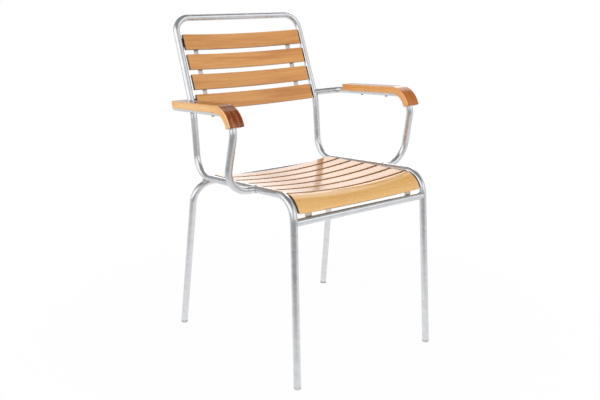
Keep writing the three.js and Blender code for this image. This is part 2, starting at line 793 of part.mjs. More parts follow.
function frontSlatOutline() {
  const centre = new THREE.Vector2(strapBendCentre.y, strapBendCentre.z);
  const normal = Math.atan2(strapNormal.z, strapNormal.y);
  const middle = frontSlatInner + SLAT_THICKNESS / 2;
  const end = Math.PI - Math.asin((frontSlatBottom - centre.y) / middle);
  const steps = bendSteps(end - normal);
  const over = arcPoints(centre, frontSlatOuter, normal, end, steps);
  const under = arcPoints(centre, frontSlatInner, end, normal, steps);
  const round = SLAT_EDGE_RADIUS * CORNER_SHARE;
  const rearTop = over.shift();
  const endTop = over.pop();
  const endUnder = under.shift();
  const rearUnder = under.pop();
  return new THREE.Shape([
    ...roundedCorner(rearUnder, rearTop, over[0], round),
    ...over,
    ...roundedCorner(over[over.length - 1], endTop, endUnder, round),
    ...roundedCorner(endTop, endUnder, under[0], round),
    ...under,
    ...roundedCorner(under[under.length - 1], rearUnder, rearTop, round),
  ]);
}

// Lowers the middle and lifts the ends, in full on top and less and less down the front
function bowFrontSlat(geometry) {
  const position = geometry.getAttribute('position');
  for (let i = 0; i < position.count; i += 1) {
    const x = Math.min(Math.abs(position.getX(i)), SEAT_SLAT_HALF_LENGTH);
    const forward = strapBendCentre.y - position.getY(i);
    const above = position.getZ(i) - strapBendCentre.z;
    const fade = forward > 0 ? Math.cos(Math.atan2(forward, above)) : 1;
    const rise = bowRise(seatUnderRadius, x) - seatStrapRise;
    position.setZ(i, position.getZ(i) + rise * fade);
  }
  return geometry;
}

// The slat as seen from the front, with its two lower corners rounded
function frontSlatFrontView() {
  const half = SEAT_SLAT_HALF_LENGTH;
  const round = FRONT_SLAT_CORNER_RADIUS;
  const low = frontSlatBottom;
  const high = strapFrontTop + SEAT_BOW + 2 * SLAT_THICKNESS;
  const shape = new THREE.Shape();
  shape.moveTo(-half + round, low - SLAT_THICKNESS);
  shape.lineTo(half - round, low - SLAT_THICKNESS);
  shape.lineTo(half - round, low);
  shape.quadraticCurveTo(half, low, half, low + round);
  shape.lineTo(half, high);
  shape.lineTo(-half, high);
  shape.lineTo(-half, low + round);
  shape.quadraticCurveTo(-half, low, -half + round, low);
  const depth = 2 * frontSlatOuter + CUT_OVERRUN;
  const geometry = new THREE.ExtrudeGeometry(shape, {
    depth,
    bevelEnabled: false,
    curveSegments: 3,
  });
  geometry.applyMatrix4(new THREE.Matrix4().makeBasis(X_AXIS, Z_AXIS, Y_AXIS.clone().negate()));
  return geometry.translate(0, strapBendStart.y + CUT_OVERRUN, 0);
}

const frontScrewAngle = strapBendTurn / 2 - strapSlope;
const frontScrewDirection = new THREE.Vector3(
  0,
  -Math.sin(frontScrewAngle),
  Math.cos(frontScrewAngle),
);

// The flat head reaches the hollow of the bend at its rim
function frontScrewSeat(side) {
  const facet = Math.cos(strapBendTurn / bendSteps(strapBendTurn) / 2);
  const hollow = (SEAT_STRAP_BEND_RADIUS - SEAT_STRAP_THICKNESS) * facet;
  const radius = Math.sqrt(hollow * hollow - SCREW_HEAD_RADIUS * SCREW_HEAD_RADIUS) - CLEARANCE;
  const seat = strapBendCentre.clone().addScaledVector(frontScrewDirection, radius);
  seat.x = SEAT_STRAP_HALF_SPACING * side;
  return seat;
}

function frontSlatGeometry() {
  const geometry = extrudeSideways(frontSlatOutline(), {
    depth: 2 * SEAT_SLAT_HALF_LENGTH - 2 * SLAT_EDGE_RADIUS,
    steps: BOW_STEPS,
    bevelThickness: SLAT_EDGE_RADIUS,
    bevelSize: SLAT_EDGE_RADIUS,
    bevelOffset: -SLAT_EDGE_RADIUS,
    bevelSegments: 1,
  });
  let solid = toSolid(bowFrontSlat(geometry));
  solid = solid.intersect(toSolid(frontSlatFrontView()));
  for (const side of [1, -1]) {
    const hole = screwHole(frontScrewSeat(side), frontScrewDirection, seatScrewReach + CLEARANCE);
    solid = solid.subtract(toSolid(hole));
  }
  return fromSolid(solid);
}

addMesh('seat_front_slat', frontSlatGeometry(), SLAT_WOOD);

for (const [label, side] of [['right', 1], ['left', -1]]) {
  addScrew(
    `seat_screw_${label}_front`,
    seatScrewReach,
    frontScrewSeat(side),
    frontScrewDirection,
  );
  const strap = seatStrapGeometry().translate(SEAT_STRAP_HALF_SPACING * side, 0, 0);
  const footCutter = strapFootCutter().translate(SEAT_STRAP_HALF_SPACING * (side - 1), 0, 0);
  const holes = [screwHole(frontScrewSeat(side), frontScrewDirection, seatScrewReach)];
  for (let i = 1; i <= SEAT_SLAT_COUNT; i += 1) {
    holes.push(screwHole(seatScrewSeat(i, side), strapNormal, seatScrewReach));
  }
  addMesh(
    `seat_strap_${label}`,
    cutAway(strap, [crossTubeEnvelope, footCutter, ...holes]),
    ZINC_STRAP,
  );
}

// Back slats. Their frame starts at the kink, with Y up the upright and Z to the sitter.

const backUp = new THREE.Vector3(0, Math.sin(backLean), Math.cos(backLean));
const backForward = new THREE.Vector3(0, -Math.cos(backLean), Math.sin(backLean));
const backTurn = Math.PI / 2 - backLean;
const backUnderRadius = bowRadius(BACK_SLAT_HALF_LENGTH, BACK_BOW) + SLAT_THICKNESS;
const backSlatMiddle = BACK_SLAT_FORWARD - SLAT_THICKNESS - BACK_BOW;
const backPitch = BACK_SLAT_WIDTH + BACK_SLAT_GAP;
const backLength = Math.hypot(UPPER_BACK_RISE, UPPER_BACK_SETBACK);

function backPoint(x, up, forward) {
  const point = new THREE.Vector3(x, kinkCorner.y, kinkCorner.z);
  return point.addScaledVector(backUp, up).addScaledVector(backForward, forward);
}

function backSlatUp(index) {
  const top = backLength - BACK_SLAT_TOP_DROP - (index - 1) * backPitch;
  return top - BACK_SLAT_WIDTH / 2;
}

const backStrapTilt = Math.asin(BACK_STRAP_HALF_SPACING / backUnderRadius);
const backBarRadius = backUnderRadius + CLEARANCE;
const backScrewReach = BACK_BAR_THICKNESS + CLEARANCE + SCREW_BITE;

// The direction into the slat's back at a screw, square to its bow
function backScrewDirection(side) {
  const direction = backForward.clone().multiplyScalar(Math.cos(backStrapTilt));
  return direction.addScaledVector(X_AXIS, -side * Math.sin(backStrapTilt));
}

// A point behind the back slats, at a depth behind their bowed underside
function backStrapPoint(up, depth, side) {
  const bow = backUnderRadius + depth;
  const x = bow * Math.sin(backStrapTilt) * side;
  const forward = backSlatMiddle + backUnderRadius - bow * Math.cos(backStrapTilt);
  return backPoint(x, up, forward);
}

function backScrewSeat(index, side) {
  return backStrapPoint(backSlatUp(index), 2 * CLEARANCE + BACK_BAR_THICKNESS, side);
}

// Carries a piece from the slats' own frame into the chair
function intoBack(geometry, up, forward) {
  geometry.rotateX(backTurn);
  const origin = backPoint(0, up, forward);
  return geometry.translate(origin.x, origin.y, origin.z);
}

function backSlatGeometry() {
  const strip = bowedStrip(
    BACK_SLAT_HALF_LENGTH,
    backUnderRadius,
    SLAT_THICKNESS,
    BACK_SLAT_WIDTH,
    SLAT_EDGE_RADIUS,
  );
  const holes = [1, -1].map((side) => {
    const bow = backUnderRadius + 2 * CLEARANCE + BACK_BAR_THICKNESS;
    const seat = new THREE.Vector3(
      bow * Math.sin(backStrapTilt) * side,
      0,
      backUnderRadius - bow * Math.cos(backStrapTilt),
    );
    const direction = new THREE.Vector3(
      -Math.sin(backStrapTilt) * side,
      0,
      Math.cos(backStrapTilt),
    );
    return screwHole(seat, direction, backScrewReach);
  });
  return cutAway(strip, holes);
}

for (let i = 1; i <= BACK_SLAT_COUNT; i += 1) {
  const slat = addMesh(`back_slat_${i}`, backSlatGeometry(), SLAT_WOOD);
  slat.position.copy(backPoint(0, backSlatUp(i), backSlatMiddle));
  slat.rotation.x = backTurn;
  for (const [label, side] of [['right', 1], ['left', -1]]) {
    const name = `back_screw_${label}_${i}`;
    addScrew(name, backScrewReach, backScrewSeat(i, side), backScrewDirection(side));
  }
}

// Two bowed bars join the uprights behind the top and bottom slats, and two straps join the bars

function backScrewHoles(index) {
  return [1, -1].map((side) =>
    screwHole(backScrewSeat(index, side), backScrewDirection(side), backScrewReach),
  );
}

for (const [label, index] of [['upper', 1], ['lower', BACK_SLAT_COUNT]]) {
  const bar = bowedStrip(
    RAIL_HALF_SPACING,
    backBarRadius + BACK_BAR_THICKNESS,
    BACK_BAR_THICKNESS,
    BACK_BAR_HEIGHT,
    0,
  );
  const behind = backSlatMiddle - CLEARANCE - BACK_BAR_THICKNESS;
  const placed = intoBack(bar, backSlatUp(index), behind);
  const holes = backScrewHoles(index);
  addMesh(`back_bar_${label}`, cutAway(placed, [frameEnvelope, ...holes]), ZINC_STRAP);
}

for (const [label, side] of [['right', 1], ['left', -1]]) {
  const bottom = backSlatUp(BACK_SLAT_COUNT) + BACK_BAR_HEIGHT / 2 + CLEARANCE;
  const top = backSlatUp(1) - BACK_BAR_HEIGHT / 2 - CLEARANCE;
  const strap = new THREE.BoxGeometry(BACK_STRAP_WIDTH, top - bottom, BACK_STRAP_THICKNESS);
  strap.rotateY(-backStrapTilt * side);
  strap.rotateX(backTurn);
  const depth = CLEARANCE + BACK_STRAP_THICKNESS / 2;
  const centre = backStrapPoint((top + bottom) / 2, depth, side);
  strap.translate(centre.x, centre.y, centre.z);
  const holes = [];
  for (let i = 2; i < BACK_SLAT_COUNT; i += 1) {
    const seat = backScrewSeat(i, side);
    holes.push(screwHole(seat, backScrewDirection(side), backScrewReach));
  }
  addMesh(`back_strap_${label}`, cutAway(strap, holes), ZINC_STRAP);
}

// Foot glides, with a level rim under the tube's end and a spigot up its bore

function glideGeometry(foot, above) {
  const up = above.clone().sub(foot).normalize();
  const chamfer = GLIDE_EDGE_CHAMFER;
  const profile = [
    new THREE.Vector2(0, 0),
    new THREE.Vector2(TUBE_RADIUS - chamfer, 0),
    new THREE.Vector2(TUBE_RADIUS, chamfer),
    new THREE.Vector2(TUBE_RADIUS, GLIDE_RIM_HEIGHT),
    new THREE.Vector2(0, GLIDE_RIM_HEIGHT),
  ];
  const rim = new THREE.LatheGeometry(profile, TUBE_SIDES).rotateX(Math.PI / 2);
  const centre = foot.clone().addScaledVector(up, GLIDE_RIM_HEIGHT / up.z);
  rim.translate(centre.x, centre.y, 0);
  const flat = Math.cos(Math.PI / BORE_SIDES);
  const spigotRadius = BORE_RADIUS * flat - CLEARANCE;
  const start = foot.clone().addScaledVector(up, GLIDE_RIM_HEIGHT / 2);
  const spigot = rod(spigotRadius, GLIDE_RIM_HEIGHT / 2 + GLIDE_SPIGOT_LENGTH, start, up);
  return joinTogether([rim, spigot]);
}

for (const [label, side] of [['right', 1], ['left', -1]]) {
  const front = glideGeometry(onSide(frontFoot, side), onSide(frontCorner, side));
  addMesh(`foot_glide_front_${label}`, front, GLIDE_PLASTIC);
  const rear = glideGeometry(onSide(rearFoot, side), onSide(rearShoulder(hoopHeight), side));
  addMesh(`foot_glide_rear_${label}`, rear, GLIDE_PLASTIC);
}

// The chair stands on z = 0 with its origin under the middle of its box

const box = new THREE.Box3().setFromObject(chair, true);
const middle = box.getCenter(new THREE.Vector3());
chair.position.set(-middle.x, -middle.y, -box.min.z);
chair.updateMatrixWorld(true);

export default chair;
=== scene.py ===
"""Visual model of a stacking garden armchair.

Bent galvanised tubes carry bowed wooden slats and two bentwood arm pads. Each sub-assembly
is a class with its own sizes, in metres. +X is the chair's right, +Y its back and +Z up.
"""

import logging
import math
from contextlib import contextmanager
from dataclasses import dataclass, field
from enum import Enum
from typing import Callable, Iterator

import bpy
from mathutils import Matrix, Vector

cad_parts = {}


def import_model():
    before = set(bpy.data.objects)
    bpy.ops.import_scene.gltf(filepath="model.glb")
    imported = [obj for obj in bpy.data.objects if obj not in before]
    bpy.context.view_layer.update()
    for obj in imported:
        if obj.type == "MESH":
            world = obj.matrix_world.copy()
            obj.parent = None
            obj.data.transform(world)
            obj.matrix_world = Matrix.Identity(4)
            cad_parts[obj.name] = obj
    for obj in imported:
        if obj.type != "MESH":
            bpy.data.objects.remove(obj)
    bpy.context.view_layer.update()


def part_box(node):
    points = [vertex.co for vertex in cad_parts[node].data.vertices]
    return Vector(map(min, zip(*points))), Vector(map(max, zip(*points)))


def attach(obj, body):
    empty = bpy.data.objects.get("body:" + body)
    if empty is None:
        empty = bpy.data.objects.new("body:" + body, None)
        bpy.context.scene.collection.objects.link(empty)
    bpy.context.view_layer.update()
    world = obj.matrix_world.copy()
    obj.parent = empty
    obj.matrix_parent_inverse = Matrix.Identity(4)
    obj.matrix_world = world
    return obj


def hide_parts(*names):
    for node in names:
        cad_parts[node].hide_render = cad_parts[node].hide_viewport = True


LOG = logging.getLogger("armchair")

# Red, green and blue from 0 to 1, and how often a pattern repeats along each axis
Colour = tuple[float, float, float]
Scale = tuple[float, float, float]

X_AXIS = Vector((1, 0, 0))
Y_AXIS = Vector((0, 1, 0))
Z_AXIS = Vector((0, 0, 1))

# The one body that every piece rides on
BODY = "root"

# The attributes that keep how a board's wood runs and what its colour is multiplied by: its own
# tone, with painted shade and painted light on some faces
GRAIN = "grain"
TONE_AND_SHADE = "tone"

# Tones of a slat: its faces keep their own tone, its long edges are darkened as painted shade in
# the gaps between slats, and its sawn ends as painted shade
EVEN = Vector((1.0, 1.0, 1.0))
EDGE_SHADE = Vector((0.5, 0.55, 0.7))
END_SHADE = Vector((0.12, 0.085, 0.07))

# The bluntest edge that is rounded, and the sharpest that is shaded smooth
ROUNDED_ANGLE = math.radians(35)
SMOOTH_ANGLE = math.radians(38)

# The largest turns between neighbouring sections of a bend
TUBE_FACET = math.radians(3.5)
PAD_FACET = math.radians(3)
STRAP_FACET = math.radians(4)
BOW_FACET = math.radians(0.5)
FRONT_SLAT_FACET = math.radians(1.5)


class Side(Enum):
    """A side of the chair, as the sitter's own right or left."""

    RIGHT = 1
    LEFT = -1

    @property
    def label(self) -> str:
        """The side's word in the names of pieces."""
        return self.name.lower()

    def of(self, point: Vector) -> Vector:
        """A point of the right half, carried to this side."""
        return Vector((point.x * self.value, point.y, point.z))


class Slot(Enum):
    """The names of the material slots."""

    TUBE = "galvanised_tube"
    STRAP = "zinc_strap"
    SLAT = "slat_wood"
    PAD = "pad_wood"
    SCREW = "screw_steel"
    GLIDE = "glide_plastic"


# Modelling by hand


def select_only(piece: bpy.types.Object) -> None:
    """Selects one piece and makes it the active one.

    Args:
        piece: The piece to work on.
    """
    bpy.ops.object.select_all(action="DESELECT")
    piece.select_set(True)
    bpy.context.view_layer.objects.active = piece


@contextmanager
def editing(piece: bpy.types.Object) -> Iterator[None]:
    """Holds a piece in edit mode, with all of it selected at first.

    Args:
        piece: The piece to edit.

    Yields:
        Nothing, while the piece is in edit mode.
    """
    select_only(piece)
    bpy.ops.object.mode_set(mode="EDIT")
    bpy.ops.mesh.select_all(action="SELECT")
    try:
        yield
    finally:
        bpy.ops.object.mode_set(mode="OBJECT")


def select_where(piece: bpy.types.Object, parts: str, wanted: Callable[..., bool]) -> None:
    """Selects some parts of a piece in edit mode, and nothing else.

    Args:
        piece: The piece.
        parts: Blender's word for the parts, such as vertices or polygons.
        wanted: Tells of a part whether it is one of them.
    """
    bpy.ops.mesh.select_all(action="DESELECT")
    bpy.ops.object.mode_set(mode="OBJECT")
    for part in getattr(piece.data, parts):
        part.select = wanted(part)
    bpy.ops.object.mode_set(mode="EDIT")


def set_down() -> bpy.types.Object:
    """Moves the new piece's place into its mesh, which leaves its object at the origin."""
    bpy.ops.object.transform_apply(location=True, rotation=True, scale=True)
    return bpy.context.object


def apply_modifier(piece: bpy.types.Object, kind: str, **settings: object) -> None:
    """Adds a modifier, sets it and applies it.

    Args:
        piece: The piece that it changes.
        kind: Blender's word for the modifier.
        **settings: The modifier's settings by name.
    """
    select_only(piece)
    modifier = piece.modifiers.new(kind.lower(), kind)
    for name, value in settings.items():
        setattr(modifier, name, value)
    bpy.ops.object.modifier_apply(modifier=modifier.name)


def round_edges(piece: bpy.types.Object, radius: float, segments: int = 3) -> None:
    """Rounds every sharp edge of a piece.

    Args:
        piece: The piece.
        radius: How far the rounding reaches from an edge.
        segments: Facets across the rounding.
    """
    apply_modifier(
        piece,
        "BEVEL",
        width=radius,
        segments=segments,
        limit_method="ANGLE",
        angle_limit=ROUNDED_ANGLE,
        harden_normals=False,
    )


def cut_away(piece: bpy.types.Object, cutter: bpy.types.Object) -> None:
    """Cuts a cutter's space out of a piece and removes the cutter."""
    apply_modifier(piece, "BOOLEAN", operation="DIFFERENCE", solver="EXACT", object=cutter)
    bpy.data.objects.remove(cutter)


def trim(piece: bpy.types.Object, point: Vector, outward: Vector) -> None:
    """Saws off what lies outward of a plane through a point, and closes the cut."""
    with editing(piece):
        bpy.ops.mesh.bisect(plane_co=point, plane_no=outward, use_fill=True, clear_outer=True)


def rod(radius: float, height: float, middle: Vector, sides: int) -> bpy.types.Object:
    """Adds an upright round rod.

    Args:
        radius: Its radius.
        height: Its height.
        middle: Its centre.
        sides: Facets round it.

    Returns:
        The rod.
    """
    bpy.ops.object.select_all(action="DESELECT")
    bpy.ops.mesh.primitive_cylinder_add(
        vertices=sides, radius=radius, depth=height, location=middle
    )
    return set_down()


def basis(first: Vector, second: Vector, third: Vector, origin: Vector) -> Matrix:
    """A placing matrix that turns X, Y and Z to three axes and carries (0, 0, 0) to origin."""
    turn = Matrix((first, second, third)).transposed()
    return Matrix.Translation(origin) @ turn.to_4x4()


@dataclass(frozen=True)
class Run:
    """A straight stretch of a bent line."""

    start: Vector
    direction: Vector
    length: float

    def sweep(self, facet: float) -> None:
        """Extrudes the selected section along the stretch.

        Args:
            facet: The largest turn between sections, of which a straight stretch has none; not
                used.
        """
        if self.length > 1e-6:
            move = self.direction * self.length
            bpy.ops.mesh.extrude_region_move(TRANSFORM_OT_translate={"value": move})

    def place(self, point: Vector, axis: Vector) -> tuple[float, float, float]:
        """Where a point lies beside the stretch.

        Args:
            point: The point.
            axis: The axis of the line's bends.

        Returns:
            How far it is from the stretch, how far along it, and how far to its outside.
        """
        offset = point - self.start
        along = offset.dot(self.direction)
        outside = offset.dot(self.direction.cross(axis))
        beyond = max(-along, along - self.length, 0.0)
        return beyond, along, outside


@dataclass(frozen=True)
class Bend:
    """A round stretch of a bent line."""

    start: Vector
    direction: Vector
    axis: Vector
    radius: float
    turn: float

    @property
    def centre(self) -> Vector:
        """The centre of the round."""
        return self.start + self.axis.cross(self.direction) * self.radius

    @property
    def length(self) -> float:
        """The length of the line through the bend."""
        return self.radius * self.turn

    def end(self) -> tuple[Vector, Vector]:
        """The point and the direction at the bend's end."""
        turn = Matrix.Rotation(self.turn, 3, self.axis)
        return self.centre + turn @ (self.start - self.centre), turn @ self.direction

    def sweep(self, facet: float) -> None:
        """Spins the selected section round the bend, at most one facet at a time."""
        steps = max(2, math.ceil(self.turn / facet))
        bpy.ops.mesh.spin(steps=steps, angle=-self.turn, center=self.centre, axis=self.axis)

    def place(self, point: Vector, axis: Vector) -> tuple[float, float, float]:
        """Where a point lies beside the bend.

        Args:
            point: The point.
            axis: The axis of the line's bends; not used, as the bend keeps its own.

        Returns:
            How far it is from the bend, how far along it, and how far to its outside.
        """
        offset = point - self.centre
        outward = self.direction.cross(self.axis)
        angle = math.atan2(offset.dot(self.direction), offset.dot(outward))
        reach = math.hypot(offset.dot(self.direction), offset.dot(outward))
        beyond = max(-angle, angle - self.turn, 0.0) * self.radius
        return beyond, angle * self.radius, reach - self.radius


@dataclass
class BentLine:
    """A line of straight runs and round bends, as a tube bender makes them."""

    point: Vector
    direction: Vector
    steps: list[Run | Bend] = field(default_factory=list)

    def __post_init__(self) -> None:
        """Keeps the start for the first section."""
        self.start = self.point.copy()
        self.first = self.direction.normalized()
        self.direction = self.first.copy()

    def run(self, length: float) -> "BentLine":
        """Goes straight on.

        Args:
            length: How far.

        Returns:
            The line itself.
        """
        self.steps.append(Run(self.point.copy(), self.direction.copy(), length))
        self.point = self.point + self.direction * length
        return self

    def bend(self, axis: Vector, radius: float, turn: float) -> "BentLine":
        """Goes round a bend.

        Args:
            axis: The axis that it turns about, right-handed.
            radius: The bend's radius.
            turn: How far it turns, in radians.

        Returns:
            The line itself.
        """
        step = Bend(self.point.copy(), self.direction.copy(), axis.normalized(), radius, turn)
        self.steps.append(step)
        self.point, self.direction = step.end()
        return self

    @classmethod
    def through(cls, corners: list[Vector], radii: list[float]) -> "BentLine":
        """A line from corner to corner, rounded at the inner ones.

        Args:
            corners: The ends and the corners between them.
            radii: The radius at each inner corner.

        Returns:
            The line.
        """
        line = cls(corners[0].copy(), corners[1] - corners[0])
        for i, radius in enumerate(radii, start=1):
            after = (corners[i + 1] - corners[i]).normalized()
            turn = line.direction.angle(after)
            before = (corners[i] - line.point).length - radius * math.tan(turn / 2)
            axis = line.direction.cross(after)
            line.run(before).bend(axis, radius, turn)
        return line.run((corners[-1] - line.point).length)

    @property
    def axis(self) -> Vector:
        """The axis of the line's first bend."""
        return next(step.axis for step in self.steps if isinstance(step, Bend))

    @property
    def length(self) -> float:
        """The length of the whole line."""
        return sum(step.length for step in self.steps)

    def unroll(self, point: Vector) -> Vector:
        """Straightens the line's board and tells where a point of it comes to lie.

        Args:
            point: A point in or on the board.

        Returns:
            Its place along the line, across it and towards its outside.
        """
        passed = 0.0
        found = []
        for step in self.steps:
            beyond, along, outside = step.place(point, self.axis)
            found.append((beyond, passed + along, outside))
            passed += step.length
        nearest = min(found, key=lambda each: each[0])
        return Vector((nearest[1], point.dot(self.axis), nearest[2]))

    def sweep(self, piece: bpy.types.Object, facet: float) -> bpy.types.Object:
        """Draws a piece's open section along the line and closes both ends.

        Args:
            piece: A piece that is only its section.
            facet: The largest turn between neighbouring sections.

        Returns:
            The piece.
        """
        with editing(piece):
            for step in self.steps:
                step.sweep(facet)
            bpy.ops.mesh.select_all(action="SELECT")
            bpy.ops.mesh.fill_holes(sides=0)
            bpy.ops.mesh.normals_make_consistent(inside=False)
        return piece


def bent_tube(line: BentLine, radius: float, sides: int = 40) -> bpy.types.Object:
    """Bends a round tube along a line.

    Args:
        line: The tube's centre line.
        radius: The tube's outer radius.
        sides: Facets round it.

    Returns:
        The tube, closed at both ends.
    """
    bpy.ops.object.select_all(action="DESELECT")
    bpy.ops.mesh.primitive_circle_add(
        vertices=sides,
        radius=radius,
        fill_type="NOTHING",
        location=line.start,
        rotation=line.first.to_track_quat("Z", "Y").to_euler(),
    )
    return line.sweep(set_down(), TUBE_FACET)


def bar_section(place: Matrix, width: float, thickness: float) -> bpy.types.Object:
    """Lays out the open section of a flat bar, to be drawn along its line.

    Args:
        place: Where the section's own axes go, its X across the bar and its Z along it.
        width: The bar's width.
        thickness: Its thickness.

    Returns:
        The section's four edges.
    """
    bpy.ops.object.select_all(action="DESELECT")
    bpy.ops.mesh.primitive_plane_add(size=1, location=place.translation, rotation=place.to_euler())
    bpy.context.object.scale = (width, thickness, 1)
    section = set_down()
    with editing(section):
        bpy.ops.mesh.delete(type="ONLY_FACE")
    return section


def bent_bar(line: BentLine, width: float, thickness: float, facet: float) -> bpy.types.Object:
    """Bends a sharp-edged flat bar along a line, its width along the axis of the bends."""
    place = basis(line.axis, line.first.cross(line.axis), line.first, line.start)
    return line.sweep(bar_section(place, width, thickness), facet)


@dataclass(frozen=True)
class BowedBoard:
    """A slat or bar that is bowed towards the sitter at its ends.

    Its own X runs along it, Y across it and Z to the sitter, from the middle of its back.
    under_radius is the radius of that back's bow, and edge is how far its edges are rounded.
    """

    half_length: float
    under_radius: float
    width: float
    thickness: float
    edge: float

    @staticmethod
    def bow_radius(half_length: float, bow: float, thickness: float) -> float:
        """The radius of a board's back, from how far its face rises to each end."""
        return (half_length * half_length + bow * bow) / (2 * bow) + thickness

    def line(self, place: Matrix) -> BentLine:
        """The board's middle line.

        Args:
            place: Where the board's own axes go.

        Returns:
            The line, a little longer than the board.
        """
        middle = self.under_radius - self.thickness / 2
        inner = self.under_radius - self.thickness
        reach = math.asin((self.half_length + self.thickness) / inner)
        across = place.to_3x3() @ Y_AXIS
        centre = place @ Vector((0, 0, self.under_radius))
        spoke = place.to_3x3() @ Vector((-math.sin(reach), 0, -math.cos(reach)))
        first = place.to_3x3() @ Vector((math.cos(reach), 0, -math.sin(reach)))
        return BentLine(centre + spoke * middle, first).bend(-across, middle, 2 * reach)

    def make(self, place: Matrix) -> bpy.types.Object:
        """Bows the board, saws its ends square and rounds its edges.

        Args:
            place: Where the board's own axes go.

        Returns:
            The board.
        """
        board = bent_bar(self.line(place), self.width, self.thickness, BOW_FACET)
        for side in Side:
            trim(board, X_AXIS * self.half_length * side.value, X_AXIS * side.value)
        round_edges(board, self.edge)
        return board

    def slat(self, place: Matrix, sawn_from: Vector, lightness: float) -> bpy.types.Object:
        """Makes the board as a slat that lies along X, with its grain, its tone, and painted shade
        on its long edges and sawn ends.

        Args:
            place: Where the board's own axes go.
            sawn_from: Where in the log it was sawn.
            lightness: How light it is, around 1.

        Returns:
            The slat.
        """
        slat = self.make(place)
        lay_grain(slat, self.line(place), sawn_from)
        edges = (EDGE_SHADE, faces_along(slat, place.to_3x3() @ Y_AXIS))
        ends = (END_SHADE, faces_along(slat, X_AXIS))
        lay_tone_and_shade(slat, EVEN * lightness, [edges, ends])
        return slat


def lay_grain(
    board: bpy.types.Object, line: BentLine, sawn_from: Vector, across: bool = False
) -> None:
    """Keeps in the board how its wood runs.

    Args:
        board: The board.
        line: The line that the board follows.
        sawn_from: Where in the log the board was sawn, so that no two look alike.
        across: Whether its grain runs across that line, not along it.
    """
    places = [line.unroll(vertex.co) for vertex in board.data.vertices]
    if across:
        places = [Vector((place.y, place.x, place.z)) for place in places]
    grain = board.data.attributes.new(GRAIN, "FLOAT_VECTOR", "POINT")
    for item, place in zip(grain.data, places):
        item.vector = place + sawn_from


def lay_tone_and_shade(
    board: bpy.types.Object, tone: Vector, others: list[tuple[Vector, set[int]]]
) -> None:
    """Keeps in the board the tone that its wood's colour is multiplied by, with painted shade and
    painted light on some faces.

    Args:
        board: The board.
        tone: The tone of most of it.
        others: Each other tone, with the numbers of the vertices that have it.
    """
    tones = board.data.attributes.new(TONE_AND_SHADE, "FLOAT_VECTOR", "POINT")
    for item in tones.data:
        item.vector = tone
    for other, marked in others:
        for i in marked:
            tones.data[i].vector = other


def faces_along(board: bpy.types.Object, axis: Vector) -> set[int]:
    """The vertices of the faces that look more or less along an axis, either way."""
    faces = [face for face in board.data.polygons if abs(face.normal.dot(axis)) > 0.9]
    return {i for face in faces for i in face.vertices}


# Finishes


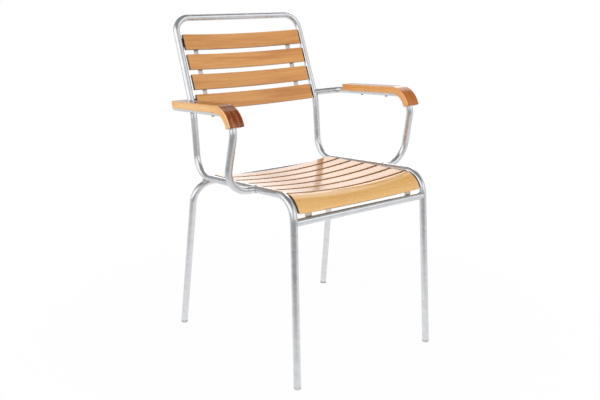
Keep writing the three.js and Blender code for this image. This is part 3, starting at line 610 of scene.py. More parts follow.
class Wiring:
    """A node tree while it is wired."""

    def __init__(self, tree: bpy.types.NodeTree) -> None:
        """Starts by emptying the tree."""
        self.tree = tree
        self.tree.nodes.clear()

    def add(self, kind: str, **settings: object) -> bpy.types.Node:
        """Adds a node.

        Args:
            kind: Blender's word for the node.
            **settings: Its settings by name.

        Returns:
            The node.
        """
        node = self.tree.nodes.new(kind)
        for name, value in settings.items():
            setattr(node, name, value)
        return node

    def link(self, source: bpy.types.NodeSocket, target: bpy.types.NodeSocket) -> None:
        """Links two sockets."""
        self.tree.links.new(source, target)

    def give(self, socket: bpy.types.NodeSocket, value: object) -> None:
        """Links a socket to another, or sets it to a number or a colour.

        Args:
            socket: The socket that takes the value.
            value: The other socket, the number or the colour.
        """
        if isinstance(value, bpy.types.NodeSocket):
            self.link(value, socket)
        elif isinstance(value, tuple):
            socket.default_value = (*value, 1.0)
        else:
            socket.default_value = value

    def maths(self, how: str, *values: object) -> bpy.types.NodeSocket:
        """Reckons with numbers.

        Args:
            how: Blender's word for the sum.
            *values: The numbers or sockets that go in.

        Returns:
            The result.
        """
        node = self.add("ShaderNodeMath", operation=how)
        for socket, value in zip(node.inputs, values):
            self.give(socket, value)
        return node.outputs[0]

    def between(self, factor: object, first: object, second: object) -> bpy.types.NodeSocket:
        """A number between two others.

        Args:
            factor: How much of the second.
            first: The first number.
            second: The second number.

        Returns:
            The number.
        """
        node = self.add("ShaderNodeMix")
        for index, value in ((0, factor), (2, first), (3, second)):
            self.give(node.inputs[index], value)
        return node.outputs[0]

    def towards(self, source: bpy.types.NodeSocket, direction: Vector) -> bpy.types.NodeSocket:
        """How far a place or a direction goes along another direction.

        Args:
            source: The place or the direction.
            direction: The other direction.

        Returns:
            The length.
        """
        node = self.add("ShaderNodeVectorMath", operation="DOT_PRODUCT")
        self.link(source, node.inputs[0])
        node.inputs[1].default_value = direction
        return node.outputs["Value"]

    def object_place(self) -> bpy.types.NodeSocket:
        """The place in the chair's own frame."""
        return self.add("ShaderNodeTexCoord").outputs["Object"]

    def noise(
        self,
        source: bpy.types.NodeSocket,
        scale: float,
        detail: float = 3.0,
        distortion: float = 0.0,
    ) -> bpy.types.NodeSocket:
        """Cloudy noise between 0 and 1.

        Args:
            source: The coordinates.
            scale: Clouds per unit of them.
            detail: How many finer layers it has.
            distortion: How much it swirls.

        Returns:
            The noise.
        """
        node = self.add("ShaderNodeTexNoise")
        node.inputs["Scale"].default_value = scale
        node.inputs["Detail"].default_value = detail
        node.inputs["Distortion"].default_value = distortion
        self.link(source, node.inputs["Vector"])
        return node.outputs["Fac"]

    def drawn_out(
        self,
        source: bpy.types.NodeSocket,
        scale: Scale,
        detail: float,
        distortion: float = 0.0,
    ) -> bpy.types.NodeSocket:
        """Cloudy noise that is drawn out along an axis.

        Args:
            source: The coordinates.
            scale: Clouds per metre along each axis.
            detail: How many finer layers it has.
            distortion: How much it swirls.

        Returns:
            The noise.
        """
        mapping = self.add("ShaderNodeMapping")
        mapping.inputs["Scale"].default_value = scale
        self.link(source, mapping.inputs["Vector"])
        return self.noise(mapping.outputs["Vector"], 1.0, detail, distortion)

    def ramp(
        self, source: bpy.types.NodeSocket, stops: list[tuple[float, tuple[float, ...]]]
    ) -> bpy.types.NodeSocket:
        """Turns a value into a colour.

        Args:
            source: The value.
            stops: Each place between 0 and 1 with its colour.

        Returns:
            The colour.
        """
        node = self.add("ShaderNodeValToRGB")
        elements = node.color_ramp.elements
        while len(elements) < len(stops):
            elements.new(0.5)
        for element, (position, colour) in zip(elements, stops):
            element.position = position
            element.color = (*colour, 1.0)
        self.link(source, node.inputs["Fac"])
        return node.outputs["Color"]

    def spread(
        self, source: bpy.types.NodeSocket, low: float, high: float, to_low: float, to_high: float
    ) -> bpy.types.NodeSocket:
        """Carries a range of a value to another range.

        Args:
            source: The value.
            low: Where the range starts.
            high: Where it ends.
            to_low: What its start becomes.
            to_high: What its end becomes.

        Returns:
            The new value.
        """
        node = self.add("ShaderNodeMapRange", interpolation_type="SMOOTHSTEP")
        self.link(source, node.inputs["Value"])
        limits = {"From Min": low, "From Max": high, "To Min": to_low, "To Max": to_high}
        for name, value in limits.items():
            node.inputs[name].default_value = value
        return node.outputs["Result"]

    def mix(
        self,
        factor: bpy.types.NodeSocket | float,
        first: bpy.types.NodeSocket | tuple[float, ...],
        second: bpy.types.NodeSocket | tuple[float, ...],
        how: str = "MIX",
    ) -> bpy.types.NodeSocket:
        """Mixes two colours.

        Args:
            factor: How much of the second.
            first: The first colour.
            second: The second colour.
            how: Blender's word for the way they mix.

        Returns:
            The mixed colour.
        """
        node = self.add("ShaderNodeMix", data_type="RGBA", blend_type=how)
        for index, value in ((0, factor), (6, first), (7, second)):
            self.give(node.inputs[index], value)
        return node.outputs[2]

    def sum(self, parts: list[tuple[bpy.types.NodeSocket, float]]) -> bpy.types.NodeSocket:
        """Adds values by weight.

        Args:
            parts: Each value with its weight.

        Returns:
            The weighted sum.
        """
        total = 0.0
        for value, weight in parts:
            total = self.maths("MULTIPLY_ADD", value, weight, total)
        return total


class Recipe(Wiring):
    """A material's nodes while they are wired."""

    def __init__(self, name: str) -> None:
        """Starts a material with one surface shader.

        Args:
            name: The material's name.
        """
        self.material = bpy.data.materials.new(name)
        self.material.use_nodes = True
        super().__init__(self.material.node_tree)
        self.shader = self.add("ShaderNodeBsdfPrincipled")
        self.output = self.add("ShaderNodeOutputMaterial")
        self.link(self.shader.outputs["BSDF"], self.output.inputs["Surface"])

    def set(self, **values: object) -> None:
        """Sets sockets of the surface shader; an underscore stands for a space."""
        for name, value in values.items():
            self.shader.inputs[name.replace("_", " ")].default_value = value

    def colour(self, source: bpy.types.NodeSocket) -> None:
        """Gives the surface its colour."""
        self.link(source, self.shader.inputs["Base Color"])

    def roughness(self, source: bpy.types.NodeSocket) -> None:
        """Gives the surface its roughness."""
        self.link(source, self.shader.inputs["Roughness"])

    def bump(self, height: bpy.types.NodeSocket, strength: float, distance: float) -> None:
        """Makes the surface uneven.

        Args:
            height: The height, around 0 to 1.
            strength: How much of it shows.
            distance: The height in metres that 1 stands for.
        """
        node = self.add("ShaderNodeBump")
        node.inputs["Strength"].default_value = strength
        node.inputs["Distance"].default_value = distance
        self.link(height, node.inputs["Height"])
        self.link(node.outputs["Normal"], self.shader.inputs["Normal"])

    def attribute(self, name: str) -> bpy.types.NodeSocket:
        """A vector that the mesh keeps at each vertex."""
        return self.add("ShaderNodeAttribute", attribute_name=name).outputs["Vector"]


@dataclass(frozen=True)
class ZincFinish:
    """Zinc on steel: faint crystals under a smooth skin that is cloudy and a little uneven.

    crystal is a crystal's breadth, and clouds and swells go by it. smooth and rough are the
    least and the greatest roughness, and unevenness is how much of the swells shows.
    """

    name: str
    pale: Colour
    dark: Colour
    crystal: float
    smooth: float
    rough: float
    unevenness: float
    crystal_share: float = 0.08
    crystal_dullness: float = 0.25
    swell_height: float = 0.0006

    def material(self) -> bpy.types.Material:
        """Makes the material.

        Returns:
            The material.
        """
        recipe = Recipe(self.name)
        place = recipe.object_place()
        cells = recipe.add("ShaderNodeTexVoronoi")
        cells.inputs["Scale"].default_value = 1 / self.crystal
        recipe.link(place, cells.inputs["Vector"])
        split = recipe.add("ShaderNodeSeparateColor")
        recipe.link(cells.outputs["Color"], split.inputs["Color"])
        clouds = recipe.noise(place, 0.35 / self.crystal, detail=2, distortion=0.4)
        share = self.crystal_share
        shade = recipe.sum([(split.outputs["Red"], share), (clouds, 1 - share)])
        recipe.colour(recipe.ramp(shade, [(0.32, self.dark), (0.68, self.pale)]))
        share = self.crystal_dullness
        dull = recipe.sum([(split.outputs["Green"], share), (clouds, 1 - share)])
        recipe.roughness(recipe.spread(dull, 0.3, 0.7, self.smooth, self.rough))
        swells = recipe.noise(place, 0.25 / self.crystal, detail=0)
        recipe.bump(swells, self.unevenness, self.swell_height)
        recipe.set(Metallic=1.0)
        return recipe.material


@dataclass(frozen=True)
class LacqueredWood:
    """Hardwood under clear gloss lacquer, with its grain along the board.

    Its grain is figure, rings and fibres laid over each other, with pores. Each has its
    clouds per metre along the board, across it and through it. gloss is the lacquer's
    roughness. streak colours broad bands, and swirl colours curls where the board is dark.
    """

    name: str
    pale: Colour
    middle: Colour
    dark: Colour
    gloss: float = 0.07
    streak: Colour | None = None
    swirl: Colour | None = None
    figure_scale: Scale = (4, 75, 75)
    ring_scale: Scale = (7, 330, 110)
    fibre_scale: Scale = (45, 1500, 1500)
    pore_scale: Scale = (120, 2600, 2600)
    streak_scale: Scale = (3.2, 42, 42)
    swirl_scale: Scale = (16, 90, 90)
    pore_height: float = 0.0003

    def material(self) -> bpy.types.Material:
        """Makes the material.

        Returns:
            The material.
        """
        recipe = Recipe(self.name)
        grain = recipe.attribute(GRAIN)
        figure = recipe.drawn_out(grain, self.figure_scale, 2, 0.8)
        rings = recipe.drawn_out(grain, self.ring_scale, 3, 0.3)
        fibres = recipe.drawn_out(grain, self.fibre_scale, 4)
        pores = recipe.drawn_out(grain, self.pore_scale, 1)
        shade = recipe.sum([(figure, 0.42), (rings, 0.36), (fibres, 0.22)])
        stops = [(0.36, self.dark), (0.5, self.middle), (0.64, self.pale)]
        colour = recipe.ramp(shade, stops)
        pore_depth = recipe.spread(pores, 0.6, 0.72, 0.0, 0.35)
        colour = recipe.mix(pore_depth, colour, self.dark, "MULTIPLY")
        if self.streak is not None:
            bands = recipe.drawn_out(grain, self.streak_scale, 1, 0.5)
            colour = recipe.mix(recipe.spread(bands, 0.52, 0.68, 0.0, 0.6), colour, self.streak)
        # The tone multiplies the colour; on some faces it is painted shade, and the pads' swirl
        # shows on their darkest faces.
        tone = recipe.attribute(TONE_AND_SHADE)
        colour = recipe.mix(1.0, colour, tone, "MULTIPLY")
        if self.swirl is not None:
            curls = recipe.drawn_out(grain, self.swirl_scale, 2, 2.2)
            darkness = recipe.spread(recipe.towards(tone, Y_AXIS), 0.1, 0.6, 1.0, 0.0)
            share = recipe.maths("MULTIPLY", recipe.spread(curls, 0.45, 0.68, 0.0, 0.75), darkness)
            colour = recipe.mix(share, colour, self.swirl)
        recipe.colour(colour)
        recipe.roughness(recipe.spread(fibres, 0.2, 0.8, 0.42, 0.56))
        recipe.bump(recipe.sum([(fibres, 0.6), (pores, 0.4)]), 0.12, self.pore_height)
        recipe.set(Specular_IOR_Level=0.0)
        recipe.set(Coat_Weight=1.0, Coat_Roughness=self.gloss, Coat_IOR=1.5)
        return recipe.material


@dataclass(frozen=True)
class GlidePlastic:
    """Pale moulded plastic, matt and a little scuffed."""

    name: str
    colour: Colour
    scuffed: Colour
    scuff_scale: float = 350
    skin_scale: float = 1800
    skin_height: float = 0.0002

    def material(self) -> bpy.types.Material:
        """Makes the material.

        Returns:
            The material.
        """
        recipe = Recipe(self.name)
        place = recipe.object_place()
        scuffs = recipe.noise(place, self.scuff_scale, detail=4, distortion=1.2)
        recipe.colour(recipe.ramp(scuffs, [(0.4, self.colour), (0.7, self.scuffed)]))
        recipe.roughness(recipe.spread(scuffs, 0.3, 0.7, 0.45, 0.65))
        skin = recipe.noise(place, self.skin_scale, detail=2)
        recipe.bump(skin, 0.15, self.skin_height)
        return recipe.material


@dataclass(frozen=True)
class Finishes:
    """Every material of the chair."""

    tube: bpy.types.Material
    strap: bpy.types.Material
    weld: bpy.types.Material
    screw: bpy.types.Material
    slat: bpy.types.Material
    front_slat: bpy.types.Material
    pad: bpy.types.Material
    glide: bpy.types.Material

    @classmethod
    def mixed(cls) -> "Finishes":
        """Makes all the materials.

        Returns:
            The finishes.
        """
        tube = ZincFinish(
            "galvanised_tube",
            pale=(0.83, 0.84, 0.86),
            dark=(0.7, 0.715, 0.74),
            crystal=0.005,
            smooth=0.2,
            rough=0.29,
            unevenness=0.06,
        )
        # The straps' zinc is darker and browner than the tubes': painted shade under the slats,
        # and painted warm light thrown from the wood.
        strap = ZincFinish(
            "zinc_strap",
            pale=(0.78, 0.72, 0.66),
            dark=(0.6, 0.54, 0.49),
            crystal=0.004,
            smooth=0.3,
            rough=0.45,
            unevenness=0.2,
        )
        weld = ZincFinish(
            "zinc_on_weld",
            pale=(0.72, 0.73, 0.75),
            dark=(0.46, 0.47, 0.49),
            crystal=0.0025,
            smooth=0.26,
            rough=0.42,
            unevenness=0.4,
        )
        screw = ZincFinish(
            "screw_steel",
            pale=(0.6, 0.6, 0.62),
            dark=(0.44, 0.44, 0.46),
            crystal=0.0012,
            smooth=0.2,
            rough=0.34,
            unevenness=0.1,
        )
        slat = LacqueredWood(
            "slat_wood",
            pale=(0.76, 0.385, 0.125),
            middle=(0.67, 0.316, 0.092),
            dark=(0.56, 0.235, 0.06),
            gloss=0.16,
            streak=(0.5, 0.19, 0.045),
        )
        # The front slat's wood is a calmer, paler copy of the slat wood: the calmer grain is its
        # own, the paler colour is painted light on its upturned bend.
        front_slat = LacqueredWood(
            "front_slat_wood",
            pale=(0.79, 0.48, 0.18),
            middle=(0.75, 0.439, 0.154),
            dark=(0.7, 0.39, 0.13),
        )
        pad = LacqueredWood(
            "pad_wood",
            pale=(0.9, 0.52, 0.2),
            middle=(0.82, 0.43, 0.15),
            dark=(0.68, 0.31, 0.095),
            swirl=(0.42, 0.16, 0.05),
        )
        glide = GlidePlastic(
            "glide_plastic", colour=(0.6, 0.61, 0.62), scuffed=(0.45, 0.45, 0.46)
        )
        return cls(
            tube=tube.material(),
            strap=strap.material(),
            weld=weld.material(),
            screw=screw.material(),
            slat=slat.material(),
            front_slat=front_slat.material(),
            pad=pad.material(),
            glide=glide.material(),
        )


# Each pad's tone at its sides, and on its top and front, set for how each pad is lit: the top and
# front are darkened as painted shade, the left pad's far more than the right's, and the left pad's
# sides are lightened as painted light
PAD_TONES_AND_SHADE = {
    Side.LEFT: (Vector((1.08, 1.18, 1.32)), Vector((0.225, 0.088, 0.035))),
    Side.RIGHT: (Vector((0.98, 0.93, 0.93)), Vector((0.56, 0.32, 0.1))),
}


def hand_over(
    piece: bpy.types.Object,
    name: str,
    material: bpy.types.Material,
    node: str | None = None,
) -> bpy.types.Object:
    """Names, smooths and dresses a finished piece, and fixes it to the chair.

    Args:
        piece: The piece.
        name: Its name.
        material: Its finish.
        node: The solid that it stands for, if it does.

    Returns:
        The piece.
    """
    piece.name = name
    piece.data.name = name
    piece.data.materials.clear()
    piece.data.materials.append(material)
    select_only(piece)
    bpy.ops.object.shade_smooth_by_angle(angle=SMOOTH_ANGLE)
    apply_modifier(piece, "WEIGHTED_NORMAL", keep_sharp=True)
    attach(piece, BODY)
    if node is not None:
        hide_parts(node)
    LOG.info("%s: %d faces", name, len(piece.data.polygons))
    return piece


# The chair's plan


@dataclass(frozen=True)
class Plan:
    """The driving sizes that several sub-assemblies share, and the points between them.

    front_line is the y at which the lines of a front leg and a seat rail cross.
    """

    front_line: float
    tube_radius: float = 0.009
    clearance: float = 0.0003
    rail_half_spacing: float = 0.204
    front_foot_half_spacing: float = 0.2143
    front_foot_lead: float = 0.0338
    rail_front_height: float = 0.4623
    rail_length: float = 0.4304
    rail_drop: float = 0.0384
    lower_back_rise: float = 0.1687
    lower_back_setback: float = 0.0165
    upper_back_rise: float = 0.2384
    upper_back_setback: float = 0.0982
    top_half_spacing: float = 0.2002
    cross_tube_drop: float = 0.0598
    hoop_setback: float = 0.4006
    hoop_height: float = 0.41215
    glide_height: float = 0.006

    @classmethod
    def from_solids(cls) -> "Plan":
        """Sets the plan over the solids, from where their cross tube lies.

        Returns:
            The plan.
        """
        low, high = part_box("front_cross_tube")
        lead = cls.front_foot_lead * cls.cross_tube_drop / cls.rail_front_height
        return cls(front_line=(low.y + high.y) / 2 + lead)

    def point(self, x: float, y: float, z: float) -> Vector:
        """A point whose y counts from the front line."""
        return Vector((x, self.front_line + y, z))

    @property
    def front_corner(self) -> Vector:
        """Where the right front leg and seat rail would cross."""
        return self.point(self.rail_half_spacing, 0, self.rail_front_height)

    @property
    def rear_corner(self) -> Vector:
        """Where the right seat rail and upright would cross."""
        height = self.rail_front_height - self.rail_drop
        return self.point(self.rail_half_spacing, self.rail_length, height)

    @property
    def kink(self) -> Vector:
        """Where the right upright starts to lean back."""
        rise = Vector((0, self.lower_back_setback, self.lower_back_rise))
        return self.rear_corner + rise

    @property
    def top_corner(self) -> Vector:
        """Where the right upright and the top tube would cross.

        Returns:
            The point.
        """
        rise = Vector((0, self.upper_back_setback, self.upper_back_rise))
        corner = self.kink + rise
        corner.x = self.top_half_spacing
        return corner

    @property
    def front_foot(self) -> Vector:
        """Where the right front leg meets the floor."""
        return self.point(self.front_foot_half_spacing, -self.front_foot_lead, 0)

    @property
    def cross_tube_end(self) -> Vector:
        """The cross tube's right end, on the leg's centre line."""
        share = 1 - self.cross_tube_drop / self.rail_front_height
        return self.front_foot.lerp(self.front_corner, share)

    def on_rail(self, setback: float) -> Vector:
        """A point of the right rail's centre line, at a distance behind the front line."""
        return self.front_corner.lerp(self.rear_corner, setback / self.rail_length)


@dataclass(frozen=True)
class SaddleWeld:
    """The rippled bead where the end of one tube, the branch, meets the side of another.

    The tubes' centre lines meet at the crossing. bead is the radius of the bead itself.
    """

    crossing: Vector
    crossed: Vector
    branch: Vector
    tube_radius: float
    bead: float = 0.0009
    ripples: int = 26
    swelling: float = 0.16

    def lift(self, spoke: Vector) -> float:
        """How far along the branch its wall meets the other tube.

        Args:
            spoke: From the branch's centre line to its wall.

        Returns:
            The distance from the crossing.
        """
        flat = spoke - self.crossed * spoke.dot(self.crossed)
        rise = self.branch - self.crossed * self.branch.dot(self.crossed)
        linear = flat.dot(rise)
        square = rise.length_squared
        rest = flat.length_squared - self.tube_radius**2
        return (-linear + math.sqrt(max(linear * linear - square * rest, 0.0))) / square

    def make(self) -> bpy.types.Object:
        """Lays the bead: a ring, pressed down to the saddle line and rippled.

        Returns:
            The bead.
        """
        bpy.ops.object.select_all(action="DESELECT")
        bpy.ops.mesh.primitive_torus_add(
            location=self.crossing,
            rotation=self.branch.to_track_quat("Z", "Y").to_euler(),
            major_radius=self.tube_radius,
            minor_radius=self.bead,
            major_segments=4 * self.ripples,
            minor_segments=10,
        )
        piece = set_down()
        for vertex in piece.data.vertices:
            offset = vertex.co - self.crossing
            spoke = offset - self.branch * offset.dot(self.branch)
            spoke = spoke.normalized() * self.tube_radius
            angle = spoke.angle(self.crossed)
            swell = 1 + self.swelling * math.sin(2 * self.ripples * angle)
            core = self.crossing + spoke
            lifted = core + self.branch * self.lift(spoke)
            vertex.co = lifted + (vertex.co - core) * swell
        return piece


@dataclass(frozen=True)
class FillerWeld:
    """A short rippled run of weld that fills a crevice."""

    centre: Vector
    along: Vector
    outward: Vector
    length: float
    width: float
    height: float
    ripples: int = 6
    swelling: float = 0.12

    def make(self) -> bpy.types.Object:
        """Lays the run: a rounded bar with swellings along it.

        Returns:
            The run of weld.
        """
        bpy.ops.object.select_all(action="DESELECT")
        bpy.ops.mesh.primitive_uv_sphere_add(segments=20, ring_count=32, radius=0.5)
        piece = bpy.context.object
        across = self.outward.cross(self.along)
        for vertex in piece.data.vertices:
            swell = 1 + self.swelling * math.cos(2 * math.pi * self.ripples * vertex.co.z)
            reach = max(1e-6, math.hypot(vertex.co.x, vertex.co.y))
            blunt = 0.5 * (1 - (2 * vertex.co.z) ** 6) ** 0.5 / reach
            vertex.co.x *= blunt * swell
            vertex.co.y *= blunt * swell
        turn = basis(across, self.outward, self.along, self.centre)
        size = Matrix.Diagonal((self.width, self.height, self.length, 1))
        piece.data.transform(turn @ size)
        piece.data.update()
        return piece


@dataclass(frozen=True)
class Screw:
    """A pan-head screw with a cross recess. Its head's seat is at its origin, its shank on +Z."""

    shank_radius: float = 0.002
    head_radius: float = 0.0038
    head_height: float = 0.0022
    recess_length: float = 0.0042
    recess_width: float = 0.001
    recess_depth: float = 0.0013
    edge: float = 0.0009
    tip_share: float = 0.35

    def make(self, reach: float) -> bpy.types.Object:
        """Turns the screw and cuts its recess.

        Args:
            reach: The shank's length under the head.

        Returns:
            The screw, at the origin.
        """
        screw = rod(self.head_radius, self.head_height, Z_AXIS * (-self.head_height / 2), 28)
        with editing(screw):
            select_where(screw, "polygons", lambda face: face.normal.z > 0.9)
            bpy.ops.mesh.inset(thickness=self.head_radius - self.shank_radius)
            extrude = {"value": (0, 0, reach)}
            bpy.ops.mesh.extrude_region_move(TRANSFORM_OT_translate=extrude)
            bpy.ops.transform.resize(value=(self.tip_share, self.tip_share, 1))
        round_edges(screw, self.edge)
        for turned in (False, True):
            bpy.ops.object.select_all(action="DESELECT")
            lowest = Vector((0, 0, -self.head_height))
            bpy.ops.mesh.primitive_cube_add(size=1, location=lowest)
            size = (self.recess_length, self.recess_width, 2 * self.recess_depth)
            bpy.context.object.scale = (size[1], size[0], size[2]) if turned else size
            cut_away(screw, set_down())
        return screw


class ScrewBox:
    """Hands out copies of one screw for each length."""

    def __init__(self, screw: Screw, material: bpy.types.Material) -> None:
        """Opens the box.

        Args:
            screw: The kind of screw.
            material: Its finish.
        """
        self.screw = screw
        self.material = material
        self.patterns: dict[float, bpy.types.Object] = {}

    def drive(self, name: str, node: str, reach: float, seat: Vector, direction: Vector) -> None:
        """Drives a screw.

        Args:
            name: The screw's name.
            node: The solid that it stands for.
            reach: The shank's length.
            seat: Where its head sits.
            direction: The way in.
        """
        if reach not in self.patterns:
            self.patterns[reach] = self.screw.make(reach)
        select_only(self.patterns[reach])
        bpy.ops.object.duplicate(linked=False)
        copy = bpy.context.object
        copy.location = seat
        copy.rotation_euler = direction.to_track_quat("Z", "Y").to_euler()
        hand_over(set_down(), name, self.material, node)

    def put_away(self) -> None:
        """Removes the screws that were copied."""
        for pattern in self.patterns.values():
            bpy.data.objects.remove(pattern)


# Sub-assemblies


@dataclass
class TubeFrame:
    """The main frame tube, the rear leg hoop and the cross tube, with their welds."""

    plan: Plan
    finishes: Finishes
    front_bend_radius: float = 0.0545
    rear_bend_radius: float = 0.0575
    kink_radius: float = 0.15
    top_bend_radius: float = 0.042
    rear_foot_half_spacing: float = 0.2498
    rear_shoulder_half_spacing: float = 0.2336
    rear_foot_setback: float = 0.0547
    hoop_bend_radius: float = 0.054
    drain_hole_radius: float = 0.0025
    drain_hole_setback: float = 0.119
    weld_length: float = 0.013
    weld_width: float = 0.0055
    weld_height: float = 0.0042
    weld_offset: Vector = field(default_factory=lambda: Vector((0.004, 0.0062, 0.0004)))

    @property
    def rear_foot(self) -> Vector:
        """Where the right rear leg meets the floor."""
        setback = self.plan.hoop_setback + self.rear_foot_setback
        return self.plan.point(self.rear_foot_half_spacing, setback, 0)

    @property
    def rear_shoulder(self) -> Vector:
        """Where the right rear leg and the hoop's cross part would cross."""
        plan = self.plan
        return plan.point(self.rear_shoulder_half_spacing, plan.hoop_setback, plan.hoop_height)

    def mirrored(self, half: list[Vector]) -> list[Vector]:
        """Carries the right half's corners, from its foot on, round to the left foot."""
        return half + [Side.LEFT.of(corner) for corner in reversed(half)]

    def below_floor(self, foot: Vector, above: Vector) -> Vector:
        """A leg's line carried on below the floor, to be cut level."""
        return foot + (foot - above).normalized() * self.plan.tube_radius

    def stood(self, corners: list[Vector], radii: list[float]) -> bpy.types.Object:
        """Bends a tube from floor to floor and cuts it level over the glides.

        Args:
            corners: Its corners.
            radii: Its bend radii.

        Returns:
            The tube.
        """
        tube = bent_tube(BentLine.through(corners, radii), self.plan.tube_radius)
        height = self.plan.glide_height + self.plan.clearance
        trim(tube, Z_AXIS * height, -Z_AXIS)
        return tube

    def main_tube(self) -> bpy.types.Object:
        """Bends the main frame tube and drills its drain holes.

        Returns:
            The tube.
        """
        plan = self.plan
        foot = self.below_floor(plan.front_foot, plan.front_corner)
        half = [foot, plan.front_corner, plan.rear_corner, plan.kink, plan.top_corner]
        radii = [
            self.front_bend_radius,
            self.rear_bend_radius,
            self.kink_radius,
            self.top_bend_radius,
        ]
        tube = self.stood(self.mirrored(half), radii + radii[::-1])
        for side in Side:
            under = side.of(plan.on_rail(self.drain_hole_setback)) - Z_AXIS * plan.tube_radius
            cut_away(tube, rod(self.drain_hole_radius, plan.tube_radius, under, 24))
        return tube

    def hoop(self) -> bpy.types.Object:
        """Bends the rear leg hoop.

        Returns:
            The tube.
        """
        foot = self.below_floor(self.rear_foot, self.rear_shoulder)
        corners = self.mirrored([foot, self.rear_shoulder])
        return self.stood(corners, [self.hoop_bend_radius, self.hoop_bend_radius])

    def cross_tube(self) -> bpy.types.Object:
        """Cuts the cross tube, whose ends are hidden in the legs.

        Returns:
            The tube.
        """
        end = self.plan.cross_tube_end
        start = Side.LEFT.of(end)
        line = BentLine(start, X_AXIS.copy()).run((end - start).length)
        return bent_tube(line, self.plan.tube_radius)

    def weld_joints(self) -> None:
        """Lays the beads at the cross tube and in the crevices between hoop and rails."""
        plan = self.plan
        weld = self.finishes.weld
        leg = (plan.front_corner - plan.front_foot).normalized()
        inward, lengthwise, down = self.weld_offset
        size = (self.weld_length, self.weld_width, self.weld_height)
        for side in Side:
            bead = SaddleWeld(
                side.of(plan.cross_tube_end), side.of(leg), X_AXIS * -side.value, plan.tube_radius
            )
            hand_over(bead.make(), f"weld_cross_tube_{side.label}", weld)
            under = side.of(plan.on_rail(plan.hoop_setback)) - Z_AXIS * plan.tube_radius
            for label, way in (("front", -1), ("rear", 1)):
                crevice = under + Vector((-side.value * inward, way * lengthwise, -down))
                run = FillerWeld(crevice, X_AXIS, Z_AXIS, *size)
                hand_over(run.make(), f"weld_hoop_{side.label}_{label}", weld)

    def build(self) -> None:
        """Makes the frame's tubes and welds."""
        tube = self.finishes.tube
        hand_over(self.main_tube(), "frame_tube", tube, "main_frame_tube")
        hand_over(self.hoop(), "rear_hoop", tube, "rear_leg_hoop")
        hand_over(self.cross_tube(), "cross_tube", tube, "front_cross_tube")
        self.weld_joints()


